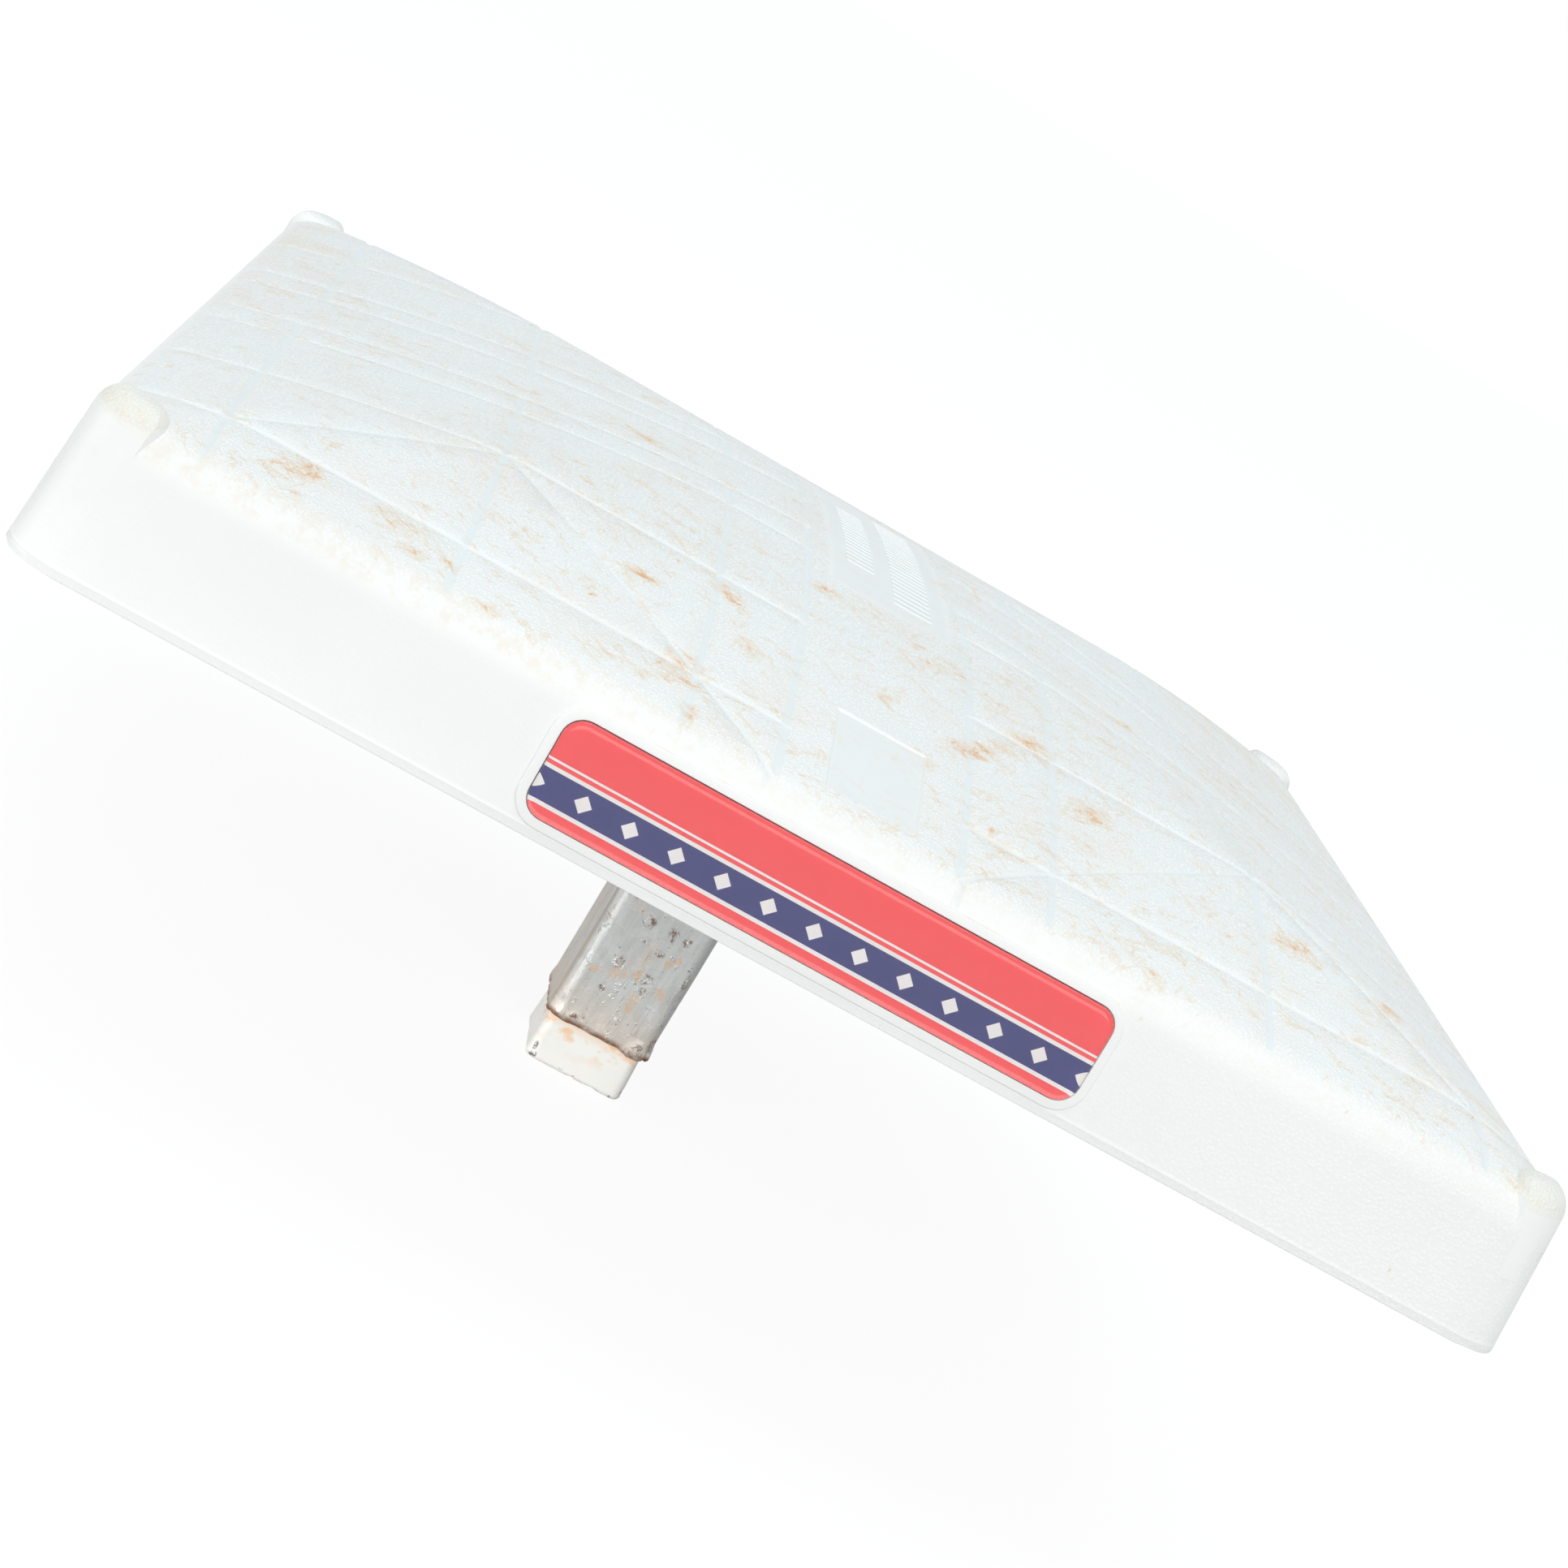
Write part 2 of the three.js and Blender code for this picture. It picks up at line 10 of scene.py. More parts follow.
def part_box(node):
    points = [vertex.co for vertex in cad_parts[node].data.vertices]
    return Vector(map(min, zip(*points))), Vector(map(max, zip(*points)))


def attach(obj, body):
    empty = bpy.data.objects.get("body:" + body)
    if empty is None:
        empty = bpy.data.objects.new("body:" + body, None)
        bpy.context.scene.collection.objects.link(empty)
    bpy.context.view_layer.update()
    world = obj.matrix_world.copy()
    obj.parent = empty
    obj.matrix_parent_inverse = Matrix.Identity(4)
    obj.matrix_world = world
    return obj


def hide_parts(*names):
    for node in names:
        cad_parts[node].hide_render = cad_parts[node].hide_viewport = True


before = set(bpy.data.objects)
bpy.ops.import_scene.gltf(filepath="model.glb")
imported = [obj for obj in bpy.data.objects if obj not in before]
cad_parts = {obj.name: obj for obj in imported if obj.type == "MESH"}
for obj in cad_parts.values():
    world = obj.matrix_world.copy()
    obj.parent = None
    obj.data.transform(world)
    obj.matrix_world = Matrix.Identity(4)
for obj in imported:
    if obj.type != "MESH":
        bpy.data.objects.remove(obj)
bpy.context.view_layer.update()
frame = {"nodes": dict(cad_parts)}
TUBE_LOW, TUBE_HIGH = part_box("stanchion_tube")
PLUG_LOW, PLUG_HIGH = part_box("end_plug")
PRINT_LOW, PRINT_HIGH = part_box("label_print")
PRINT_HALF = (PRINT_HIGH.x - PRINT_LOW.x) / 2
HALF_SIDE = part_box("cover")[1].x
UP = (0, 0, 1)

# Distances: points on one plane, points that count as one, and points too close for a sound face
ON_PLANE = 1e-7
SAME_POINT = 1e-6
SLIVER = 0.0003

# Finishes of the cover, in the order of its material slots; the two groove finishes are darkened as
# painted shade
PEBBLED, SMOOTH, SHADED_GROOVE, LIGHTLY_SHADED_GROOVE, NUB = range(5)

# Where a groove's section bends, as shares of its width from its middle
GROOVE_STEPS = (0.12, 0.36, 0.6)

bl_info = {
    "name": "Baseball base",
    "version": (1, 0, 0),
    "blender": (4, 5, 0),
    "location": "View3D > Sidebar > Base",
    "description": "Builds the cover, label, stanchion and fasteners of a baseball base over its solids",
    "category": "Object",
}


def length(name, description, default):
    """A size in metres that a user may change."""
    return bpy.props.FloatProperty(
        name=name, description=description, default=default, unit='LENGTH', precision=5)


def colour(name, description, default):
    """A colour that a user may change."""
    return bpy.props.FloatVectorProperty(
        name=name, description=description, default=default, subtype='COLOR', size=3, min=0, max=1)


def share(name, description, default):
    """A plain amount between nothing and all."""
    return bpy.props.FloatProperty(
        name=name, description=description, default=default, subtype='FACTOR', min=0, max=1)


def power(name, description, default):
    """A lamp's power in watts."""
    return bpy.props.FloatProperty(
        name=name, description=description, default=default, unit='POWER', min=0)


class BaseCoverSettings(bpy.types.PropertyGroup):
    """Sizes and colours of the moulded cover."""

    crown_height: length("Crown height", "Top of the crown above the ground", 0.0762)
    edge_height: length("Edge height", "Height at which the crown would meet the side", 0.0445)
    edge_fillet: length("Edge fillet", "Radius of the soft edge between crown and side", 0.014)
    corner_radius: length("Corner radius", "Radius of the four upright corners", 0.016)
    side_draft: bpy.props.FloatProperty(
        name="Side draft", description="Lean of the four sides", default=math.radians(4.7),
        subtype='ANGLE')
    wall: length("Wall", "Thickness of the rubber", 0.006)
    lip_thickness: length("Lip thickness", "Thickness of the turned-in lip", 0.004)
    lip_width: length("Lip width", "Width of the turned-in lip", 0.018)
    strip_half: length("Strip half width", "Middle of the top to the first tread line", 0.028)
    inner_line: length("Inner line", "Middle of the top to the second tread line", 0.0557)
    outer_margin: length("Outer margin", "Edge of the top to the last tread line", 0.030)
    line_margin: length("Line margin", "Edge of the top to the ends of the tread lines", 0.006)
    groove_width: length("Groove width", "Width of a tread line", 0.0032)
    groove_depth: length("Groove depth", "Depth of a tread line", 0.0005)
    slant_width: length("Slanted width", "Width of a slanted tread line", 0.0018)
    slant_depth: length("Slanted depth", "Depth of a slanted tread line", 0.0005)
    panel_width: length("Panel width", "Width of the sunk panel by the front edge", 0.0285)
    panel_length: length("Panel length", "Length of the sunk panel", 0.045)
    panel_margin: length("Panel margin", "Edge of the top to the panel", 0.011)
    panel_depth: length("Panel depth", "Depth of the panel", 0.0006)
    rib_pitch: length("Rib pitch", "From one rib of the middle strip to the next", 0.005)
    rib_width: length("Rib width", "Width of a rib", 0.0018)
    rib_height: length("Rib height", "Height of a rib", 0.0003)
    nub_radius: length("Nub radius", "Radius of a corner nub", 0.0118)
    nub_inset: length("Nub inset", "Edge of the top to a nub's middle", 0.0084)
    nub_stand: length("Nub stand", "How far a nub rises above the edge", 0.0051)
    nub_round: length("Nub rounding", "Radius of a nub's shoulder", 0.0058)
    nub_ease: length("Nub ease", "Radius of a nub's outer edge", 0.0075)
    nub_sunk: length("Nub sunk", "How far a nub's outside lies below the side", 0.00005)
    rubber: colour("Rubber", "White of the cover", (0.885, 0.885, 0.88))
    clay: colour("Clay", "Rubbed-in field clay", (0.74, 0.43, 0.20))
    pale_clay: colour("Pale clay", "Clay where it is only a film", (0.76, 0.57, 0.34))
    dark_clay: colour("Dark clay", "Clay where it lies thickest", (0.55, 0.25, 0.09))


class BaseLabelSettings(bpy.types.PropertyGroup):
    """Sizes and colours of the label on the front side."""

    corner: length("Corner", "Corner radius of the label", 0.006)
    height: length("Height", "Height of the label up the side", 0.0286)
    centre_up: length("Centre", "Ground to the label's middle, up the side", 0.0205)
    seat_gap: length("Seat gap", "Gap between the label and its seat", 0.0003)
    seat_depth: length("Seat depth", "Depth of the seat in the side", 0.0008)
    frame_width: length("Frame width", "Width of the raised frame round the label", 0.0028)
    frame_height: length("Frame height", "Height of the raised frame", 0.001)
    dome_low: length("Dome foot", "Side to the foot of the clear dome", 0.0007)
    dome_edge: length("Dome edge", "Straight edge of the clear dome", 0.0006)
    dome_rise: length("Dome rise", "Rise of the dome's shoulder", 0.0013)
    dome_shoulder: length("Dome shoulder", "Width of the dome's shoulder", 0.0021)
    band_low: length("Band foot", "Label's middle to the foot of the blue band", -0.0098)
    band_high: length("Band head", "Label's middle to the head of the blue band", -0.0012)
    pinstripe: length("Pinstripe", "Width of the white pinstripes", 0.0011)
    diamond: length("Diamond", "Half width of a white diamond in the band", 0.0026)
    diamond_pitch: length("Diamond pitch", "From one diamond to the next", 0.0138)
    red: colour("Red", "Field of the print", (0.99, 0.05, 0.06))
    blue: colour("Blue", "Band of the print", (0.003, 0.005, 0.17))
    white: colour("White", "Stripes of the print", (0.9, 0.88, 0.88))


class BaseStanchionSettings(bpy.types.PropertyGroup):
    """Sizes and colours of the tube, its plug and the fasteners."""

    tube_wall: length("Tube wall", "Wall of the square tube", 0.0021)
    tube_corner: length("Tube corner", "Corner radius of the square tube", 0.005)
    plug_corner: length("Plug corner", "Corner radius of the plug", 0.0034)
    plug_flare: length("Plug flare", "How much the plug's head widens to its end", 0.0008)
    plug_round: length("Plug rounding", "Radius of the plug's end", 0.0022)
    plug_gap: length("Plug gap", "Gap between the plug's stem and the tube", 0.0003)
    bolt_head: length("Bolt head", "Height of a hex head", 0.0053)
    bolt_flats: length("Across flats", "Width of a hex head", 0.013)
    bolt_diameter: length("Bolt", "Diameter of a bolt", 0.008)
    screw_diameter: length("Screw", "Diameter of a lip screw", 0.004)
    screw_head: length("Screw head", "Height of a lip screw's head", 0.0022)
    zinc: colour("Galvanised", "Zinc of the tube and plate", (0.50, 0.515, 0.505))
    bright_zinc: colour("Plated", "Bright zinc of the fasteners", (0.58, 0.59, 0.6))
    rust: colour("Rust", "Rust on the tube", (0.2, 0.085, 0.035))
    plug: colour("Plug", "White of the plug", (0.92, 0.915, 0.885))
    frame: colour("Frame", "Black of the frame inside the cover", (0.022, 0.023, 0.026))
    brass: colour("Brass", "Threaded inserts", (0.55, 0.38, 0.13))


class BaseStageSettings(bpy.types.PropertyGroup):
    """Camera, floor and light."""

    camera_place: bpy.props.FloatVectorProperty(
        name="Camera", description="Place of the camera", default=(-0.16179, -1.02128, 0.22979),
        subtype='TRANSLATION', unit='LENGTH')
    camera_turn: bpy.props.FloatVectorProperty(
        name="Camera turn", description="Turn of the camera about X, Y and Z",
        default=(1.3090314, -0.5306182, -0.0347965), subtype='EULER')
    camera_lens: bpy.props.FloatProperty(
        name="Lens", description="Focal length on a 36 mm sensor, in millimetres", default=73.729)
    floor_size: length("Floor", "Side of the floor", 80.0)
    sky: colour("Sky", "Tint of the light from all round and above", (0.905, 0.98, 1.0))
    warm: colour("Warm", "Tint of the key light", (1.0, 0.965, 0.93))
    sky_level: share("Sky level", "Strength of the light from all round", 0.62)
    key_power: power("Key light", "Soft box before the base", 24)
    top_power: power("Top light", "Wide soft box over the base", 18)
    strip_power: power("Strip light", "Narrow strip beside the stanchion", 4.5)
    low_power: power("Low light", "Small light that reaches in under the base", 135)


# Columns of ribs on the top: left, right and half length

RIB_COLUMNS = ((-0.0142, -0.0042, 0.046), (0.00215, 0.01565, 0.066))

# Level of the middle of the marks on the top, and how far they reach up and down, in millimetres

MARK_LEVEL = 60
MARK_DEPTH = 500

# Wear on the top: x, y, half length and half width in millimetres, and the turn in degrees

CLAY_ON_TOP = (
    (-172, -203, 14, 8, 60), (-144, -202, 14, 9, 20), (-138, -213, 7, 4, 25), (-114, -219, 11, 5, 8),
    (-127, -209, 5, 4, 60), (-79, -157, 11, 7, 45), (-84, -11, 15, 8, -38), (-52, -137, 15, 6, -55),
    (-43, -164, 9, 9, 0), (-60, -195, 15, 10, 70), (-55, -217, 10, 4, 90), (32, -145, 38, 7, 49),
    (47, -123, 14, 10, 30), (68, -146, 10, 8, 25), (92, -30, 15, 6, 43), (136, -159, 13, 10, 7),
    (170, -161, 18, 8, 45), (85, -226, 10, 5, 45), (-12, -38, 9, 5, 28), (1, -145, 14, 5, 61),
    (-22, -89, 8, 7, 25),
)

# Wear on the front of the tube and the plug: x, z, half width and half height in millimetres

CRUST_ON_TUBE = (
    (-4.5, -66, 3.6, 4.2), (4.4, -66, 2.8, 4), (9.5, -66, 2.2, 2.6), (-6.3, -82, 2.8, 2.6),
    (5, -83.5, 2.8, 4), (-6.8, -93, 2.4, 1.8), (3.6, -73.7, 2.4, 2), (5.1, -88.3, 2.8, 2.2),
    (16.5, -79, 2, 2.8), (14.5, -106.5, 3, 2.8), (17.6, -103, 2.4, 4), (-10, -106.8, 2.4, 1.8),
)
CLAY_ON_TUBE = (
    (-4.5, -86.4, 4.6, 5), (1.1, -84, 4, 3.4), (3.8, -91.5, 4.4, 4.6), (-12.5, -88.6, 3, 2.8),
    (7.7, -75.4, 3.4, 2.6), (11, -73, 3, 2.4), (10.7, -85.9, 3.4, 4.6), (3.5, -95.5, 2.8, 3.4),
)
CHIPS_ON_PLUG = (
    (-15.3, -125.6, 1.9, 2.2), (-15.8, -122.4, 1, 2.2), (-0.4, -127, 1.6, 0.9), (7.4, -127, 2.2, 0.9),
    (17.6, -123.6, 0.9, 1.8),
)


# Materials

class Finish:
    """A material in the making, with short ways to add and join its nodes."""

    def __init__(self, name):
        self.material = bpy.data.materials.new(name)
        self.material.use_nodes = True
        self.tree = self.material.node_tree
        self.shader = self.tree.nodes["Principled BSDF"]
        self.place = self.tree.nodes.new("ShaderNodeTexCoord").outputs["Object"]

    def feed(self, socket, value):
        if isinstance(value, bpy.types.NodeSocket):
            self.tree.links.new(value, socket)
        elif socket.type == 'RGBA' and len(value) == 3:
            socket.default_value = (*value, 1)
        else:
            socket.default_value = value

    def add(self, kind, inputs, **settings):
        node = self.tree.nodes.new(kind)
        for name, value in settings.items():
            setattr(node, name, value)
        for name, value in inputs.items():
            self.feed(node.inputs[name], value)
        return node

    def shade(self, **sockets):
        """Sets or joins the shader's sockets and returns the finished material."""
        for name, value in sockets.items():
            self.feed(self.shader.inputs[name.replace("_", " ")], value)
        return self.material

    def along(self, axis):
        return self.add("ShaderNodeSeparateXYZ", {"Vector": self.place}).outputs[axis]

    def facing(self, axis):
        normal = self.add("ShaderNodeNewGeometry", {}).outputs["Normal"]
        return self.add("ShaderNodeSeparateXYZ", {"Vector": normal}).outputs[axis]

    def clouds(self, where, scale, detail=3.0, roughness=0.55, distortion=0.0):
        inputs = {
            "Vector": where,
            "Scale": scale,
            "Detail": detail,
            "Roughness": roughness,
            "Distortion": distortion,
        }
        return self.add("ShaderNodeTexNoise", inputs).outputs["Fac"]

    def streaks(self, scale, detail, roughness=0.55, turn=(0, 0, 0), shift=(0, 0, 0)):
        """Noise with a scale of its own along each axis."""
        inputs = {"Vector": self.place, "Scale": scale, "Rotation": turn, "Location": shift}
        where = self.add("ShaderNodeMapping", inputs).outputs["Vector"]
        return self.clouds(where, 1.0, detail, roughness)

    def cells(self, place, size, turn):
        """Coordinates round a place, turned in the level plane, with the size of one in millimetres."""
        inputs = {
            "Vector": self.place,
            "Location": place,
            "Scale": [value / 1000 for value in size],
            "Rotation": (0, 0, math.radians(turn)),
        }
        return self.add("ShaderNodeMapping", inputs, vector_type='TEXTURE').outputs["Vector"]

    def spot(self, place, size, turn=0):
        """A soft spot, one at its middle and nothing at its rim, placed and sized in millimetres."""
        inputs = {"Vector": self.cells([value / 1000 for value in place], size, turn)}
        return self.add("ShaderNodeTexGradient", inputs, gradient_type='SPHERICAL').outputs["Fac"]

    def front_marks(self, marks, y, reach):
        """Soft spots on a front face, which lies at y."""
        return self.most(*(
            self.spot((x, y * 1000, z), (wide, reach, high)) for x, z, wide, high in marks))

    def smears(self, size, turn, shift):
        """Noise drawn out along one way in the level plane, with the size of its cells in millimetres."""
        return self.clouds(self.cells(shift, size, turn), 1.0, detail=5, roughness=0.62, distortion=0.5)

    def within(self, axis, middle, half, soft):
        """One inside a stretch along an axis, nothing outside it."""
        away = self.calc('ABSOLUTE', self.calc('SUBTRACT', self.along(axis), middle))
        return self.ramp(away, half + soft, half - soft)

    def ramp(self, value, start, end, low=0.0, high=1.0):
        inputs = {"Value": value, "From Min": start, "From Max": end, "To Min": low, "To Max": high}
        return self.add("ShaderNodeMapRange", inputs, interpolation_type='SMOOTHSTEP').outputs["Result"]

    def calc(self, operation, first, second=0.0):
        return self.add("ShaderNodeMath", {0: first, 1: second}, operation=operation).outputs["Value"]

    def fold(self, operation, values):
        """Takes values together, one after another, by one operation."""
        result = values[0]
        for value in values[1:]:
            result = self.calc(operation, result, value)
        return result

    def times(self, *values):
        return self.fold('MULTIPLY', values)

    def most(self, *values):
        return self.fold('MAXIMUM', values)

    def plus(self, *values):
        return self.fold('ADD', values)

    def without(self, value):
        """What a share leaves of one."""
        return self.calc('SUBTRACT', 1.0, value)

    def near(self, scale, start, end, low=0.0, high=1.0, detail=3.0, roughness=0.55):
        """Noise in the piece's own place, drawn out between two levels."""
        return self.ramp(self.clouds(self.place, scale, detail, roughness), start, end, low, high)

    def blend(self, amount, under, over):
        node = self.add("ShaderNodeMix", {0: amount, 6: under, 7: over}, data_type='RGBA')
        return node.outputs[2]

    def bump(self, height, strength, distance, under=None):
        inputs = {"Height": height, "Strength": strength, "Distance": distance}
        if under is not None:
            inputs["Normal"] = under
        return self.add("ShaderNodeBump", inputs).outputs["Normal"]


def rubber_with_clay(cover, name, pebble, clay_share, tint=(1, 1, 1), upward=(0.45, 0.93)):
    """White rubber with field clay rubbed in, pebbled and dirty as much as is told where it faces up, with
    painted shade in the gaps between pebbles and, through the tint, in the grooves.
    """
    finish = Finish(name)
    top = finish.ramp(finish.facing("Z"), *upward)
    right_end = finish.ramp(finish.along("X"), 0.02, 0.2, 0.08, 0.4)
    round_ribs = finish.times(
        finish.within("X", 0.001, 0.021, 0.002), finish.within("Y", 0, 0.074, 0.003))
    in_panel = finish.times(
        finish.within("X", 0, 0.0142, 0.0003), finish.within("Y", -0.1914, 0.0225, 0.0003))
    bare = finish.most(round_ribs, in_panel)
    pebbles = {"Vector": finish.place, "Scale": 820, "Randomness": 0.85}
    grain = finish.add("ShaderNodeTexVoronoi", pebbles).outputs["Distance"]
    pebbled = finish.times(finish.most(top, right_end), finish.without(bare), pebble)
    mottle = finish.ramp(grain, 0.1, 0.5, 0.35, 1.0)

    wisps = finish.most(
        finish.smears((9, 3, 6), 12, (0.3, 0.1, 0)),
        finish.smears((7, 2.6, 6), 68, (0.7, 0.4, 0)),
        finish.smears((8, 2.8, 6), -47, (0.2, 0.9, 0)))
    regions = finish.near(13, 0.36, 0.64, -0.03, 0.03, detail=2)
    groups = finish.most(
        finish.smears((24, 8, 20), 18, (0.5, 0.2, 0)),
        finish.smears((20, 7, 20), -35, (0.1, 0.6, 0)))
    gathered = finish.plus(regions, finish.ramp(groups, 0.5, 0.68, -0.05, 0.08))
    spots = finish.most(*(
        finish.spot((x, y, MARK_LEVEL), (long, wide, MARK_DEPTH), turn)
        for x, y, long, wide, turn in CLAY_ON_TOP))
    density = finish.plus(wisps, gathered, finish.times(spots, 0.25))
    rubbed = finish.plus(
        finish.ramp(density, 0.54, 0.68, 0.0, 0.36), finish.ramp(density, 0.68, 0.84, 0.0, 0.48))
    # The veil grows heavier towards the back, so the top darkens towards the back
    far = finish.ramp(finish.along("Y"), 0.0, 0.2, 0.13, 0.42)
    veil = finish.times(finish.near(24, 0.44, 0.72, detail=6, roughness=0.7), far)
    held = finish.without(finish.times(bare, 0.6))
    on_top = finish.times(top, mottle, held, finish.most(rubbed, veil))
    soft_edge = finish.times(
        finish.ramp(finish.facing("Z"), 0.15, 0.45), finish.ramp(finish.facing("Z"), 0.97, 0.85),
        finish.ramp(finish.along("Z"), 0.028, 0.034), finish.ramp(finish.along("Y"), -0.195, -0.21),
        finish.ramp(finish.along("X"), 0.02, -0.12, 0.3, 1.0),
        finish.near(230, 0.44, 0.62, detail=6, roughness=0.72), 0.22)
    specks = finish.times(
        finish.ramp(finish.streaks((240, 240, 240), detail=2, shift=(1200, 1200, 1200)), 0.71, 0.76),
        finish.ramp(finish.along("X"), 0.0, 0.22, 0.0, 0.6))
    dirty = finish.times(finish.most(on_top, soft_edge, specks), clay_share)

    # The tint is painted shade on the grooves and the nubs' own cream tone on the nubs
    tint_or_painted_shade = [channel * part for channel, part in zip(cover.rubber, tint)]
    white = finish.blend(top, cover.rubber, tint_or_painted_shade)
    duller = [channel * 0.965 for channel in tint_or_painted_shade]
    clean = finish.blend(finish.near(14, 0.35, 0.65, 0.0, 0.6), white, duller)
    # Painted shade: the gaps between the pebbles are darkened bluish, less near the front edge, and the
    # bare smooth zones get an even share of it
    pebble_gap_shade = finish.times(
        finish.ramp(grain, 0.28, 0.62), pebbled, finish.ramp(finish.along("Y"), -0.215, -0.1, 0.2, 0.3))
    painted_gap_shade = [channel * part for channel, part in zip(cover.rubber, (0.58, 0.64, 0.68))]
    grained_with_painted_shade = finish.blend(finish.most(pebble_gap_shade, finish.times(bare, top, 0.26)), clean, painted_gap_shade)
    soil = finish.blend(finish.ramp(density, 0.64, 0.8), cover.pale_clay, cover.clay)
    stained = finish.blend(dirty, grained_with_painted_shade, soil)
    darkest = finish.times(
        finish.ramp(density, 0.78, 0.92), top, finish.ramp(grain, 0.2, 0.5), clay_share, 0.42)
    relief = finish.times(finish.without(finish.ramp(grain, 0.05, 0.65)), pebbled)
    uneven = finish.bump(finish.clouds(finish.place, 500, detail=3), strength=0.06, distance=0.0004)
    return finish.shade(
        Base_Color=finish.blend(darkest, stained, cover.dark_clay),
        Roughness=finish.ramp(pebbled, 0, 1, 0.46, 0.56),
        Specular_IOR_Level=0.4,
        Normal=finish.bump(relief, strength=0.55, distance=0.00035, under=uneven))


def moulded_plastic(name, base, dust):
    """Moulded plastic, faintly mottled, with dust on it."""
    finish = Finish(name)
    mottle = finish.clouds(finish.place, 60, detail=4)
    dusty = finish.times(finish.near(25, 0.45, 0.75, detail=5, roughness=0.65), 0.22)
    shaded = finish.blend(finish.ramp(mottle, 0.3, 0.7), base, [channel * 1.5 for channel in base])
    return finish.shade(
        Base_Color=finish.blend(dusty, shaded, dust),
        Roughness=finish.ramp(mottle, 0.3, 0.7, 0.5, 0.68),
        Normal=finish.bump(finish.clouds(finish.place, 1400, detail=2), strength=0.12, distance=0.0002))


def galvanised_steel(stanchion, cover, name, worn):
    """Dull zinc with a faint spangle. The worn kind has crusted dents, scratches and clay, painted glints,
    a painted highlight on its front left corner and painted shade on the faces turned to the right.
    """
    finish = Finish(name)
    spangle = finish.add("ShaderNodeTexVoronoi", {"Vector": finish.place, "Scale": 230}).outputs["Color"]
    tone = finish.add("ShaderNodeSeparateColor", {"Color": spangle}).outputs["Red"]
    drawn = finish.streaks((700, 700, 60), detail=4)
    shade = finish.times(
        finish.ramp(tone, 0.0, 1.0, 0.96, 1.04), finish.ramp(drawn, 0.3, 0.7, 0.94, 1.05))
    zinc = finish.add(
        "ShaderNodeVectorMath", {0: stanchion.zinc, "Scale": shade}, operation='SCALE').outputs["Vector"]
    rough = finish.ramp(drawn, 0.3, 0.7, 0.33, 0.46)
    grain = finish.bump(finish.clouds(finish.place, 1100, detail=3), strength=0.14, distance=0.0002)
    if not worn:
        return finish.shade(Base_Color=zinc, Metallic=0.6, Roughness=rough, Normal=grain)

    level = finish.along("Z")
    crust_spots = finish.front_marks(CRUST_ON_TUBE, TUBE_LOW.y, reach=6)
    clay_spots = finish.front_marks(CLAY_ON_TUBE, TUBE_LOW.y, reach=6)
    ragged = finish.clouds(finish.place, 900, detail=6, roughness=0.74)
    scattered = finish.near(210, 0.58, 0.7)
    uneven = finish.calc('SUBTRACT', finish.clouds(finish.place, 330, detail=5, roughness=0.65), 0.5)
    scabs = finish.times(
        finish.ramp(finish.plus(crust_spots, finish.times(uneven, 2.2)), 0.25, 0.75),
        finish.ramp(crust_spots, 0.0, 0.15))
    battered = finish.most(scabs, finish.times(scattered, 0.5))
    flaky = finish.clouds(finish.place, 460, detail=5, roughness=0.7)
    crust = finish.most(
        finish.times(scabs, finish.ramp(flaky, 0.46, 0.56), 1.1),
        finish.times(finish.ramp(battered, 0.05, 0.6), finish.ramp(ragged, 0.5, 0.6)))
    pits = finish.near(640, 0.66, 0.71, detail=3, roughness=0.6)
    rim = finish.times(
        finish.ramp(level, TUBE_LOW.z + 0.0026, TUBE_LOW.z + 0.0004),
        finish.near(260, 0.32, 0.6, 0.35, 0.95, detail=4))
    rust = finish.most(finish.times(crust, 0.75), rim, finish.times(pits, 0.55))
    trickled = finish.calc('SUBTRACT', finish.streaks((420, 420, 130), detail=6, roughness=0.7), 0.5)
    patches = finish.times(
        finish.ramp(finish.plus(clay_spots, finish.times(trickled, 3.2)), 0.2, 0.9),
        finish.ramp(clay_spots, 0.0, 0.25), finish.ramp(ragged, 0.42, 0.6, 0.25, 1.3))
    cloudy = finish.streaks((60, 60, 34), detail=6, roughness=0.68, shift=(1.3, 0.2, 0.6))
    near_rim = finish.ramp(level, TUBE_LOW.z + 0.022, TUBE_LOW.z + 0.003, 0.0, 0.7)
    film = finish.times(
        finish.most(finish.ramp(cloudy, 0.5, 0.68), near_rim), finish.ramp(ragged, 0.42, 0.58, 0.4, 1.0))
    clay = finish.most(finish.times(finish.ramp(patches, 0.15, 0.7), 0.55), finish.times(film, 0.34))
    turned_left = finish.ramp(finish.facing("X"), -0.55, -0.97)
    streaky = finish.streaks((420, 420, 20), detail=4)
    dust = finish.times(turned_left, finish.ramp(streaky, 0.36, 0.6, 0.1, 0.5))
    # Painted glints: light specks where the tube is battered
    glint_specks = finish.near(1250, 0.55, 0.62, detail=4, roughness=0.7)
    painted_glints = finish.times(finish.ramp(battered, 0.02, 0.4, 0.12, 0.85), glint_specks)
    scratches = finish.ramp(finish.streaks((900, 900, 34), detail=3, turn=(0, 0.12, 0)), 0.66, 0.71)
    # Painted highlight: the front left corner is lightened
    painted_corner_highlight = finish.times(
        finish.ramp(finish.facing("X"), -0.02, -0.4), finish.ramp(finish.facing("X"), -0.97, -0.75),
        finish.ramp(finish.facing("Y"), -0.1, -0.5), 0.05)
    # Painted shade: faces turned to the right are darkened towards dark grey
    painted_right_shade = finish.times(finish.ramp(finish.facing("X"), 0.12, 0.85), 0.42)
